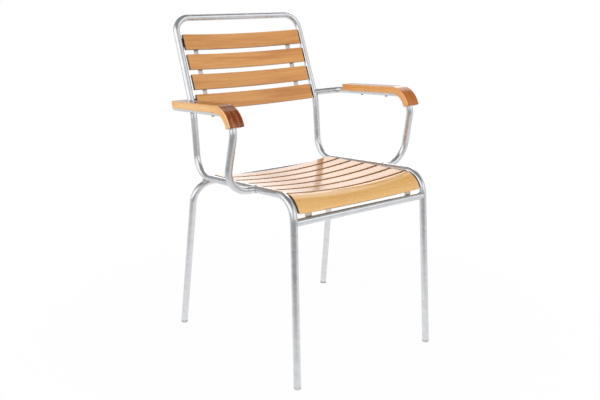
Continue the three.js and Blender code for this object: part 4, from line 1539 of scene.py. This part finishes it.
@dataclass
class Arm:
    """One arm: its tube, its bentwood pad, and the screws and welds that hold them."""

    plan: Plan
    finishes: Finishes
    screws: ScrewBox
    side: Side
    half_spacing: float = 0.277
    rear_rise: float = 0.0194
    rear_lead: float = 0.032
    rear_lift: float = 0.0059
    rear_bend_radius: float = 0.034
    length: float = 0.303
    rise: float = 0.0231
    front_bend_radius: float = 0.046
    post_setback: float = 0.038
    post_spread: float = 0.009
    post_end_length: float = 0.0226
    hook_setback: float = 0.008
    pad_width: float = 0.042
    pad_thickness: float = 0.0185
    pad_lift: float = 0.0004
    pad_rear_setback: float = 0.034
    pad_end_angle: float = math.radians(20)
    pad_edge: float = 0.0035
    screw_front_setback: float = 0.0434
    screw_rear_lead: float = 0.0646
    screw_reach: float = 0.0263
    bead: float = 0.0012

    def __post_init__(self) -> None:
        """Finds the corners of the right arm's tube."""
        plan = self.plan
        share = self.rear_rise / plan.upper_back_rise
        self.upright = plan.kink.lerp(plan.top_corner, share)
        self.rear = self.upright + Vector((0, -self.rear_lead, self.rear_lift))
        self.rear.x = self.half_spacing
        self.front = self.rear + Vector((0, -self.length, self.rise))
        setback = self.front.y - plan.front_line + self.post_setback - self.hook_setback
        self.rail = plan.on_rail(setback)
        self.hook = self.rail + Vector((0, self.hook_setback, 0))
        self.hook.x = self.half_spacing + self.post_spread
        self.line = (self.front - self.rear).normalized()
        self.normal = self.line.cross(X_AXIS)
        post = self.hook - self.front
        post.x = 0
        reach = self.front_bend_radius * math.tan(self.line.angle(post) / 2)
        self.straight = (self.front - self.rear).length - reach

    def tube(self) -> bpy.types.Object:
        """Bends the arm's tube, whose ends are hidden in the frame tube.

        Returns:
            The tube.
        """
        corners = [self.upright, self.rear, self.front, self.hook, self.rail]
        foot = self.rail - self.hook
        turn = (self.hook - self.front).angle(foot)
        post_bend = (foot.length - self.post_end_length) / math.tan(turn / 2)
        radii = [self.rear_bend_radius, self.front_bend_radius, post_bend]
        line = BentLine.through([self.side.of(corner) for corner in corners], radii)
        return bent_tube(line, self.plan.tube_radius)

    def pad_line(self) -> BentLine:
        """The middle line of the right pad.

        Returns:
            The line from its rear end to its front end.
        """
        middle = self.pad_lift + self.pad_thickness / 2
        start = self.rear + self.line * self.pad_rear_setback + self.normal * middle
        straight = self.straight - self.pad_rear_setback
        start_angle = math.atan2(self.normal.z, self.normal.y)
        bend = math.pi - self.pad_end_angle - start_angle
        radius = self.front_bend_radius + middle
        return BentLine(start, self.line).run(straight).bend(X_AXIS, radius, bend)

    def pad(self) -> bpy.types.Object:
        """Bends the right pad, rounds its edges and lays its grain; the left one is mirrored.

        Returns:
            The pad.
        """
        line = self.pad_line()
        pad = bent_bar(line, self.pad_width, self.pad_thickness, PAD_FACET)
        round_edges(pad, self.pad_edge, 4)
        lay_grain(pad, line, Vector((0.31 * self.side.value, 0.2, 0.15)))
        # The broad top and front faces take the painted shade; the sides take each pad's lit tone.
        broad = self.pad_width / 2 - self.pad_edge / 2
        offsets = [abs(vertex.co.x - self.half_spacing) for vertex in pad.data.vertices]
        top_and_front_to_shade = {i for i, offset in enumerate(offsets) if offset < broad}
        side_lit_tone, face_shade_tone = PAD_TONES_AND_SHADE[self.side]
        lay_tone_and_shade(pad, side_lit_tone, [(face_shade_tone, top_and_front_to_shade)])
        if self.side is Side.LEFT:
            select_only(pad)
            pad.scale.x = -1
            set_down()
            with editing(pad):
                bpy.ops.mesh.normals_make_consistent(inside=False)
        return pad

    def weld_ends(self) -> None:
        """Lays the beads at both ends of the tube."""
        plan = self.plan
        back = (plan.top_corner - plan.kink).normalized()
        rail = (plan.rear_corner - plan.front_corner).normalized()
        joints = {
            "upright": (self.upright, back, self.rear - self.upright),
            "rail": (self.rail, rail, self.hook - self.rail),
        }
        for label, (crossing, crossed, branch) in joints.items():
            bead = SaddleWeld(
                self.side.of(crossing),
                self.side.of(crossed),
                self.side.of(branch).normalized(),
                plan.tube_radius,
                self.bead,
            )
            name = f"weld_arm_{label}_{self.side.label}"
            hand_over(bead.make(), name, self.finishes.weld)

    def build(self) -> None:
        """Makes the arm."""
        label = self.side.label
        tube = self.finishes.tube
        hand_over(self.tube(), f"arm_{label}", tube, f"arm_tube_{label}")
        pad = self.finishes.pad
        hand_over(self.pad(), f"pad_{label}", pad, f"arm_pad_{label}")
        self.weld_ends()
        below = self.plan.tube_radius + self.plan.clearance
        distances = (
            self.straight - self.screw_front_setback,
            self.pad_rear_setback + self.screw_rear_lead,
        )
        for i, distance in enumerate(distances, start=1):
            seat = self.side.of(self.rear + self.line * distance - self.normal * below)
            node = f"arm_pad_screw_{label}_{i}"
            name = f"pad_screw_{label}_{i}"
            self.screws.drive(name, node, self.screw_reach, seat, self.normal)


@dataclass
class Seat:
    """The seat: two steel straps, six bowed slats and the bent front slat.

    The straps' line runs down to the rear, from their bend over the cross tube to the hoop.
    """

    plan: Plan
    finishes: Finishes
    screws: ScrewBox
    strap_half_spacing: float = 0.158
    strap_width: float = 0.018
    strap_thickness: float = 0.004
    strap_edge: float = 0.0006
    strap_front_rise: float = 0.0428
    strap_bend_radius: float = 0.04
    strap_end_setback: float = 0.005
    strap_end_rise: float = 0.0065
    strap_rear_drop: float = 0.0002
    slat_count: int = 6
    slat_width: float = 0.043
    slat_gap: float = 0.011
    slat_thickness: float = 0.009
    slat_side_gap: float = 0.004
    slat_edge: float = 0.0012
    bow: float = 0.012
    front_reveal: float = 0.0075
    front_corner_radius: float = 0.006
    screw_bite: float = 0.0055
    weld_width: float = 0.0042
    weld_height: float = 0.0032
    weld_lead: float = 0.0004
    weld_rise: float = 0.0012
    tones: tuple[float, ...] = (1.0, 0.96, 1.04, 0.98, 1.02, 0.97)

    def __post_init__(self) -> None:
        """Finds the straps' line and bend."""
        plan = self.plan
        end = plan.cross_tube_end
        front_top = end.z + self.strap_front_rise
        rear_top = plan.hoop_height + plan.tube_radius - self.strap_rear_drop
        self.front_face = end.y + self.strap_end_setback
        self.rear = plan.point(0, plan.hoop_setback, rear_top)
        run = self.rear.y - self.front_face - self.strap_bend_radius
        self.slope = math.atan2(front_top - rear_top, run)
        self.line = Vector((0, math.cos(self.slope), -math.sin(self.slope)))
        self.normal = Vector((0, math.sin(self.slope), math.cos(self.slope)))
        low = plan.tube_radius - self.strap_rear_drop - self.strap_thickness
        self.rear_lead = math.sqrt((plan.tube_radius + plan.clearance) ** 2 - low * low)
        self.turn = math.pi / 2 + self.slope
        tangent = self.strap_bend_radius * math.tan(self.turn / 2)
        self.bend_start = self.top_at(self.front_face) + self.line * tangent
        self.bend_centre = self.bend_start - self.normal * self.strap_bend_radius
        self.half_length = plan.rail_half_spacing - plan.tube_radius - self.slat_side_gap
        self.under_radius = BowedBoard.bow_radius(
            self.half_length, self.bow, self.slat_thickness
        )
        self.strap_rise = self.bow_rise(self.strap_half_spacing - self.strap_width / 2)
        self.foot = end.z + self.strap_end_rise
        self.screw_reach = self.strap_thickness + plan.clearance + self.screw_bite

    def top_at(self, y: float) -> Vector:
        """The top of the straps at a place y, in the middle of the chair."""
        return self.rear + self.line * ((y - self.rear.y) / self.line.y)

    def bow_rise(self, x: float) -> float:
        """How far the slats' underside rises from its middle to a place x."""
        return self.under_radius - math.sqrt(self.under_radius**2 - x * x)

    def slat_place(self, index: int) -> Matrix:
        """Where a slat's own axes go.

        Args:
            index: The slat, from 1 at the rear.

        Returns:
            The placing matrix.
        """
        pitch = self.slat_width + self.slat_gap
        distance = self.slat_gap + self.slat_width / 2 + (self.slat_count - index) * pitch
        origin = self.bend_start + self.line * distance
        origin += self.normal * (self.plan.clearance - self.strap_rise)
        return basis(X_AXIS, self.line, self.normal, origin)

    def sideways(self, side: Side) -> Vector:
        """From the middle of the chair to the middle of a strap."""
        return X_AXIS * self.strap_half_spacing * side.value

    def screw_seat(self, index: int, side: Side) -> Vector:
        """Where the head of a slat's screw sits, under the strap.

        Args:
            index: The slat, from 1 at the rear.
            side: The side of the chair.

        Returns:
            The point.
        """
        down = self.strap_rise - self.strap_thickness - 2 * self.plan.clearance
        seat = self.slat_place(index) @ Vector((0, 0, down))
        return seat + self.sideways(side)

    def strap(self, side: Side) -> bpy.types.Object:
        """Bends a strap from the hoop to the cross tube.

        Args:
            side: The side of the chair.

        Returns:
            The strap.
        """
        half = self.strap_thickness / 2
        sideways = self.sideways(side)
        rear = self.top_at(self.rear.y - self.rear_lead) - self.normal * half + sideways
        bend = self.bend_start - self.normal * half + sideways
        line = BentLine(rear, -self.line).run((rear - bend).length)
        line.bend(X_AXIS, self.strap_bend_radius - half, self.turn)
        line.run(line.point.z - self.foot)
        strap = bent_bar(line, self.strap_width, self.strap_thickness, STRAP_FACET)
        round_edges(strap, self.strap_edge, 2)
        return strap

    def slat(self, index: int) -> bpy.types.Object:
        """Bows a slat, lays its grain and tones it.

        Args:
            index: The slat, from 1 at the rear.

        Returns:
            The slat.
        """
        board = BowedBoard(
            half_length=self.half_length,
            under_radius=self.under_radius,
            width=self.slat_width,
            thickness=self.slat_thickness,
            edge=self.slat_edge,
        )
        sawn_from = Vector((0.7 * index, 0, 0.03 * index))
        return board.slat(self.slat_place(index), sawn_from, self.tones[index - 1])

    def front_line(self) -> BentLine:
        """The line of the front slat's underside, from its rear edge down to its front edge.

        Returns:
            The line.
        """
        inner = self.strap_bend_radius + self.plan.clearance
        middle = inner + self.slat_thickness / 2
        bottom = self.plan.cross_tube_end.z + self.plan.tube_radius + self.front_reveal
        last = math.pi - math.asin((bottom - self.bend_centre.z) / middle)
        turn = last - math.atan2(self.normal.z, self.normal.y)
        start = self.bend_centre + self.normal * inner
        return BentLine(start, -self.line).bend(X_AXIS, inner, turn)

    def press_front(self, slat: bpy.types.Object, line: BentLine) -> None:
        """Presses the bow into the front slat and rounds its lower corners.

        Args:
            slat: The sheet of its underside.
            line: The line that the sheet follows.
        """
        radius = self.front_corner_radius
        for vertex in slat.data.vertices:
            place = vertex.co
            rest = line.length - line.unroll(place).x
            forward = max(self.bend_centre.y - place.y, 0.0)
            fade = math.cos(math.atan2(forward, place.z - self.bend_centre.z))
            rise = self.bow_rise(place.x) - self.strap_rise
            near = max(radius - rest, 0.0)
            inset = radius - math.sqrt(max(radius * radius - near * near, 0.0))
            place.z += rise * fade
            place.x *= 1 - inset / self.half_length

    def front_slat(self) -> bpy.types.Object:
        """Bends the front slat over the straps.

        Returns:
            The slat.
        """
        line = self.front_line()
        bpy.ops.object.select_all(action="DESELECT")
        bpy.ops.mesh.primitive_plane_add(size=2 * self.half_length, location=line.start)
        slat = set_down()
        with editing(slat):
            select_where(slat, "vertices", lambda vertex: vertex.co.y > line.start.y)
            bpy.ops.mesh.delete(type="VERT")
            bpy.ops.mesh.select_all(action="SELECT")
            bpy.ops.transform.translate(value=(0, self.half_length, 0))
            bpy.ops.mesh.subdivide(number_cuts=63)
            line.steps[0].sweep(FRONT_SLAT_FACET)
            bpy.ops.mesh.select_all(action="SELECT")
            bpy.ops.mesh.normals_make_consistent(inside=False)
        self.press_front(slat, line)
        outward = slat.data.polygons[0].normal.dot(self.normal) > 0
        apply_modifier(
            slat,
            "SOLIDIFY",
            thickness=self.slat_thickness,
            offset=1.0 if outward else -1.0,
            use_even_offset=True,
        )
        with editing(slat):
            bpy.ops.mesh.normals_make_consistent(inside=False)
        round_edges(slat, self.slat_edge)
        lay_grain(slat, line, Vector((0.45, 0, 0.4)), across=True)
        # The front slat's lower edge and its sawn ends are darkened as painted shade.
        lower = line.length - self.slat_edge / 2
        places = [line.unroll(vertex.co).x for vertex in slat.data.vertices]
        edge = {i for i, place in enumerate(places) if place > lower}
        lay_tone_and_shade(slat, EVEN, [(EDGE_SHADE, edge), (END_SHADE, faces_along(slat, X_AXIS))])
        return slat

    def front_screw(self, side: Side) -> tuple[Vector, Vector]:
        """The seat and the direction of a screw in the front slat.

        Args:
            side: The side of the chair.

        Returns:
            Both vectors.
        """
        angle = self.turn / 2 - self.slope
        direction = Vector((0, -math.sin(angle), math.cos(angle)))
        hollow = self.strap_bend_radius - self.strap_thickness
        reach = math.sqrt(hollow**2 - self.screws.screw.head_radius**2) - self.plan.clearance
        return self.bend_centre + direction * reach + self.sideways(side), direction

    def strap_weld(self, side: Side) -> bpy.types.Object:
        """Lays the weld between a strap's foot and the cross tube.

        Args:
            side: The side of the chair.

        Returns:
            The weld.
        """
        crevice = Vector((0, self.front_face - self.weld_lead, self.foot + self.weld_rise))
        crevice += self.sideways(side)
        size = (self.strap_width, self.weld_width, self.weld_height)
        return FillerWeld(crevice, X_AXIS, Z_AXIS, *size).make()

    def build(self) -> None:
        """Makes the seat."""
        finishes = self.finishes
        for side in Side:
            node = f"seat_strap_{side.label}"
            name = f"strap_{side.label}"
            hand_over(self.strap(side), name, finishes.strap, node)
            weld = f"weld_strap_{side.label}"
            hand_over(self.strap_weld(side), weld, finishes.weld)
            seat, direction = self.front_screw(side)
            node = f"seat_screw_{side.label}_front"
            name = f"screw_{side.label}_front"
            self.screws.drive(name, node, self.screw_reach, seat, direction)
        for index in range(1, self.slat_count + 1):
            node = f"seat_slat_{index}"
            hand_over(self.slat(index), f"slat_{index}", finishes.slat, node)
            for side in Side:
                node = f"seat_screw_{side.label}_{index}"
                name = f"screw_{side.label}_{index}"
                seat = self.screw_seat(index, side)
                self.screws.drive(name, node, self.screw_reach, seat, self.normal)
        wood = finishes.front_slat
        hand_over(self.front_slat(), "front_slat", wood, "seat_front_slat")


@dataclass
class Back:
    """The back: four bowed slats on two bowed bars and two straps."""

    plan: Plan
    finishes: Finishes
    screws: ScrewBox
    slat_count: int = 4
    slat_width: float = 0.0417
    slat_gap: float = 0.0133
    slat_thickness: float = 0.009
    slat_side_gap: float = 0.002
    slat_edge: float = 0.0012
    slat_top_drop: float = 0.0472
    slat_forward: float = 0.008
    bow: float = 0.013
    bar_height: float = 0.025
    bar_thickness: float = 0.003
    steel_edge: float = 0.0006
    strap_half_spacing: float = 0.152
    strap_width: float = 0.014
    strap_thickness: float = 0.003
    screw_bite: float = 0.0055
    tones: tuple[float, ...] = (0.98, 1.0, 0.97, 0.95)

    def __post_init__(self) -> None:
        """Finds the back's lean and the slats' bow."""
        plan = self.plan
        lean = math.atan2(plan.upper_back_setback, plan.upper_back_rise)
        self.up = Vector((0, math.sin(lean), math.cos(lean)))
        self.forward = Vector((0, -math.cos(lean), math.sin(lean)))
        self.half_length = plan.top_half_spacing - plan.tube_radius - self.slat_side_gap
        self.under_radius = BowedBoard.bow_radius(
            self.half_length, self.bow, self.slat_thickness
        )
        self.middle = self.slat_forward - self.slat_thickness - self.bow
        self.reach = math.hypot(plan.upper_back_rise, plan.upper_back_setback)
        self.tilt = math.asin(self.strap_half_spacing / self.under_radius)
        self.screw_reach = self.bar_thickness + plan.clearance + self.screw_bite

    def point(self, x: float, up: float, forward: float) -> Vector:
        """A point in the back's own frame, which starts at the kink."""
        start = self.plan.kink
        return Vector((x, start.y, start.z)) + self.up * up + self.forward * forward

    def slat_up(self, index: int) -> float:
        """The height of a slat's middle up the back, counted from 1 at the top."""
        top = self.reach - self.slat_top_drop - (index - 1) * (self.slat_width + self.slat_gap)
        return top - self.slat_width / 2

    def behind(self, up: float, depth: float, side: Side) -> Vector:
        """A point in line with a strap, behind the slats.

        Args:
            up: Its height up the back.
            depth: How far it lies behind the slats' bowed back.
            side: The side of the chair.

        Returns:
            The point.
        """
        bow = self.under_radius + depth
        x = bow * math.sin(self.tilt) * side.value
        forward = self.middle + self.under_radius - bow * math.cos(self.tilt)
        return self.point(x, up, forward)

    def facing(self, side: Side) -> Vector:
        """The direction in which a strap faces the sitter, square to the slats' bow."""
        return self.forward * math.cos(self.tilt) - X_AXIS * side.value * math.sin(self.tilt)

    def slat(self, index: int) -> bpy.types.Object:
        """Bows a slat, lays its grain and tones it.

        Args:
            index: The slat, from 1 at the top.

        Returns:
            The slat.
        """
        board = BowedBoard(
            half_length=self.half_length,
            under_radius=self.under_radius,
            width=self.slat_width,
            thickness=self.slat_thickness,
            edge=self.slat_edge,
        )
        origin = self.point(0, self.slat_up(index), self.middle)
        place = basis(X_AXIS, self.up, self.forward, origin)
        sawn_from = Vector((0.5 * index, 0.2, 0.05 * index))
        return board.slat(place, sawn_from, self.tones[index - 1])

    def bar(self, index: int) -> bpy.types.Object:
        """Bows a bar behind a slat, with its ends in the uprights.

        Args:
            index: The slat that it is behind.

        Returns:
            The bar.
        """
        up = self.slat_up(index)
        clearance = self.plan.clearance
        half = self.plan.kink.lerp(self.plan.top_corner, up / self.reach).x
        board = BowedBoard(
            half_length=half,
            under_radius=self.under_radius + clearance + self.bar_thickness,
            width=self.bar_height,
            thickness=self.bar_thickness,
            edge=self.steel_edge,
        )
        origin = self.point(0, up, self.middle - clearance - self.bar_thickness)
        return board.make(basis(X_AXIS, self.up, self.forward, origin))

    def strap(self, side: Side) -> bpy.types.Object:
        """Makes a strap between the bars.

        Args:
            side: The side of the chair.

        Returns:
            The strap.
        """
        margin = self.bar_height / 2 + self.plan.clearance
        bottom = self.slat_up(self.slat_count) + margin
        top = self.slat_up(1) - margin
        depth = self.plan.clearance + self.strap_thickness / 2
        start = self.behind(bottom, depth, side)
        facing = self.facing(side)
        place = basis(self.up.cross(facing), facing, self.up, start)
        strap = bar_section(place, self.strap_width, self.strap_thickness)
        BentLine(start, self.up.copy()).run(top - bottom).sweep(strap, STRAP_FACET)
        round_edges(strap, self.steel_edge, 2)
        return strap

    def build(self) -> None:
        """Makes the back."""
        finishes = self.finishes
        depth = 2 * self.plan.clearance + self.bar_thickness
        for index in range(1, self.slat_count + 1):
            node = f"back_slat_{index}"
            name = f"back_board_{index}"
            hand_over(self.slat(index), name, finishes.slat, node)
            for side in Side:
                seat = self.behind(self.slat_up(index), depth, side)
                node = f"back_screw_{side.label}_{index}"
                name = f"board_screw_{side.label}_{index}"
                self.screws.drive(name, node, self.screw_reach, seat, self.facing(side))
        for label, index in (("upper", 1), ("lower", self.slat_count)):
            bar = self.bar(index)
            hand_over(bar, f"bar_{label}", finishes.strap, f"back_bar_{label}")
        for side in Side:
            node = f"back_strap_{side.label}"
            name = f"board_strap_{side.label}"
            hand_over(self.strap(side), name, finishes.strap, node)


@dataclass
class Glides:
    """The four plastic glides in the tube ends."""

    plan: Plan
    finishes: Finishes
    frame: TubeFrame
    edge: float = 0.0012
    spigot_length: float = 0.016

    def glide(self, foot: Vector, above: Vector) -> bpy.types.Object:
        """Moulds a glide: a level rim with a spigot up the leg.

        Args:
            foot: Where the leg's line meets the floor.
            above: A point further up that line.

        Returns:
            The glide.
        """
        up = (above - foot).normalized()
        height = self.plan.glide_height
        top = foot + up * (height / up.z)
        middle = Vector((top.x, top.y, height / 2))
        glide = rod(self.plan.tube_radius, height, middle, 40)
        round_edges(glide, self.edge, 4)
        with editing(glide):
            select_where(
                glide,
                "polygons",
                lambda face: face.normal.z > 0.999 and face.center.z > 0.9 * height,
            )
            bpy.ops.mesh.inset(thickness=self.edge)
            move = {"value": up * self.spigot_length}
            bpy.ops.mesh.extrude_region_move(TRANSFORM_OT_translate=move)
        return glide

    def build(self) -> None:
        """Makes the glides."""
        legs = {
            "front": (self.plan.front_foot, self.plan.front_corner),
            "rear": (self.frame.rear_foot, self.frame.rear_shoulder),
        }
        for place, (foot, above) in legs.items():
            for side in Side:
                glide = self.glide(side.of(foot), side.of(above))
                label = f"{place}_{side.label}"
                material = self.finishes.glide
                hand_over(glide, f"glide_{label}", material, f"foot_glide_{label}")


# The studio


@dataclass(frozen=True)
class Lamp:
    """A large soft lamp that faces the chair; the metal and the lacquer may mirror it."""

    name: str
    place: Vector
    width: float
    height: float
    power: float
    mirrored: bool = False

    def hang(self, target: Vector) -> None:
        """Hangs the lamp out of the camera's sight.

        Args:
            target: The point that it faces.
        """
        data = bpy.data.lights.new(self.name, "AREA")
        data.shape = "RECTANGLE"
        data.size = self.width
        data.size_y = self.height
        data.energy = self.power
        lamp = bpy.data.objects.new(self.name, data)
        bpy.context.scene.collection.objects.link(lamp)
        lamp.location = self.place
        lamp.rotation_euler = (target - self.place).to_track_quat("-Z", "Y").to_euler()
        lamp.visible_camera = False
        lamp.visible_glossy = self.mirrored


@dataclass(frozen=True)
class Patch:
    """A round part of the mirrored surroundings that is lighter or darker than the rest.

    It has its full level up to core and fades out up to edge, both in degrees from its
    middle. A level of 1 is white.
    """

    direction: Vector
    edge: float
    core: float
    level: float


@dataclass
class Studio:
    """Floor, light and camera."""

    target: Vector = field(default_factory=lambda: Vector((0, 0, 0.42)))
    camera_place: Vector = field(default_factory=lambda: Vector((-1.2134, -1.6302, 0.9506)))
    yaw: float = math.radians(36.8)
    pitch: float = math.radians(16.14)
    roll: float = math.radians(0.39)
    focal_pixels: float = 787.0
    image_width: float = 600.0
    floor_size: float = 30.0
    ambient: float = 0.6

    def camera(self) -> None:
        """Sets up the camera at the photograph's viewing angle."""
        data = bpy.data.cameras.new("camera")
        data.sensor_fit = "HORIZONTAL"
        data.sensor_width = 36.0
        data.lens = self.focal_pixels * data.sensor_width / self.image_width
        camera = bpy.data.objects.new("camera", data)
        bpy.context.scene.collection.objects.link(camera)
        turn = Matrix.Rotation(-self.yaw, 4, "Z")
        turn @= Matrix.Rotation(math.pi / 2 - self.pitch, 4, "X")
        turn @= Matrix.Rotation(self.roll, 4, "Z")
        camera.matrix_world = Matrix.Translation(self.camera_place) @ turn
        bpy.context.scene.camera = camera

    def floor(self) -> None:
        """Lays the pale floor: white to the camera but for a faint shadow by the feet.

        In mirrored rays it is dimmer away from the chair, most of all towards the left front.
        """
        bpy.ops.object.select_all(action="DESELECT")
        bpy.ops.mesh.primitive_plane_add(size=self.floor_size)
        floor = bpy.context.object
        floor.name = "floor"
        recipe = Recipe("pale_floor")
        recipe.set(Base_Color=(0.9, 0.9, 0.9, 1.0), Roughness=0.9)
        place = recipe.object_place()
        measure = recipe.add("ShaderNodeVectorMath", operation="LENGTH")
        recipe.link(place, measure.inputs[0])
        distance = measure.outputs["Value"]
        all_round = recipe.spread(distance, 0.2, 1.4, 0.94, 0.8)
        left_front = recipe.towards(place, Vector((-0.8, -0.6, 0)))
        aside = recipe.spread(left_front, 0.2, 1.5, 0.98, 0.47)
        mirrored = recipe.maths("MULTIPLY", all_round, aside)
        path = recipe.add("ShaderNodeLightPath")
        is_camera = path.outputs["Is Camera Ray"]
        glow = recipe.add("ShaderNodeEmission")
        recipe.link(recipe.between(is_camera, mirrored, 1.0), glow.inputs["Strength"])
        seen = recipe.maths("MULTIPLY", is_camera, recipe.spread(distance, 0.5, 1.0, 0.96, 1.0))
        share = recipe.maths("MAXIMUM", seen, path.outputs["Is Glossy Ray"])
        mixed = recipe.add("ShaderNodeMixShader")
        recipe.link(share, mixed.inputs["Fac"])
        recipe.link(recipe.shader.outputs["BSDF"], mixed.inputs[1])
        recipe.link(glow.outputs["Emission"], mixed.inputs[2])
        recipe.link(mixed.outputs["Shader"], recipe.output.inputs["Surface"])
        floor.data.materials.append(recipe.material)

    def world(self) -> None:
        """Makes the surroundings: white to the camera and dimmer as light.

        In mirrored rays they have light and dark patches, which make the streaks on the tubes.
        """
        world = bpy.data.worlds.new("studio")
        bpy.context.scene.world = world
        world.use_nodes = True
        wiring = Wiring(world.node_tree)
        background = wiring.add("ShaderNodeBackground")
        wiring.give(background.inputs["Color"], (1.0, 1.0, 1.0))
        output = wiring.add("ShaderNodeOutputWorld")
        wiring.link(background.outputs["Background"], output.inputs["Surface"])
        direction = wiring.add("ShaderNodeTexCoord").outputs["Generated"]
        height = wiring.towards(direction, Z_AXIS)
        mirrored = wiring.spread(height, 0.5, 0.84, 0.7, 0.27)
        for patch in (
            Patch(Vector((0.57, 0.55, 0.6)), edge=25.0, core=10.0, level=1.8),
            Patch(Vector((-0.05, 0.8, 0.6)), edge=46.0, core=30.0, level=0.35),
            Patch(Vector((-0.93, 0.3, 0.21)), edge=36.0, core=20.0, level=1.3),
            Patch(Vector((-0.83, -0.3, 0.45)), edge=28.0, core=14.0, level=1.3),
            Patch(Vector((-0.5, -0.85, 0.05)), edge=24.0, core=10.0, level=0.55),
            Patch(Vector((0.17, -0.94, 0.27)), edge=22.0, core=7.0, level=1.25),
            Patch(Vector((0.57, -0.72, 0.4)), edge=17.0, core=7.0, level=1.25),
        ):
            nearness = wiring.towards(direction, patch.direction.normalized())
            limits = [math.cos(math.radians(angle)) for angle in (patch.edge, patch.core)]
            share = wiring.spread(nearness, *limits, 0.0, 1.0)
            mirrored = wiring.between(share, mirrored, patch.level)
        path = wiring.add("ShaderNodeLightPath")
        dim = wiring.between(path.outputs["Is Glossy Ray"], self.ambient, mirrored)
        clear = wiring.maths(
            "MAXIMUM", path.outputs["Is Camera Ray"], path.outputs["Is Transmission Ray"]
        )
        wiring.link(wiring.between(clear, dim, 1.0), background.inputs["Strength"])

    def lamps(self) -> None:
        """Hangs the soft lamps."""
        key = Vector((-2.2, -1.4, 2.2))
        fill = Vector((-0.6, -3.0, 1.6))
        strip = Vector((1.7, 2.4, 1.34))
        low_strip = Vector((1.7, 2.4, 0.46))
        for lamp in (
            Lamp("key_left", key, width=3.2, height=3.2, power=46.0),
            Lamp("fill_front", fill, width=1.6, height=1.6, power=16.0),
            Lamp("back_strip", strip, width=2.4, height=1.12, power=12.4, mirrored=True),
            Lamp("back_strip_low", low_strip, width=2.4, height=0.4, power=3.7, mirrored=True),
        ):
            lamp.hang(self.target)

    def build(self) -> None:
        """Sets the studio up."""
        self.camera()
        self.floor()
        self.world()
        self.lamps()
        bpy.context.scene.view_settings.view_transform = "Standard"


def main() -> None:
    """Loads the solids and builds the chair over them."""
    logging.basicConfig(level=logging.INFO, format="%(message)s")
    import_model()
    Studio().build()
    plan = Plan.from_solids()
    finishes = Finishes.mixed()
    screws = ScrewBox(Screw(), finishes.screw)
    frame = TubeFrame(plan, finishes)
    frame.build()
    for side in Side:
        Arm(plan, finishes, screws, side).build()
    Seat(plan, finishes, screws).build()
    Back(plan, finishes, screws).build()
    Glides(plan, finishes, frame).build()
    screws.put_away()


if __name__ == "__main__":
    main()
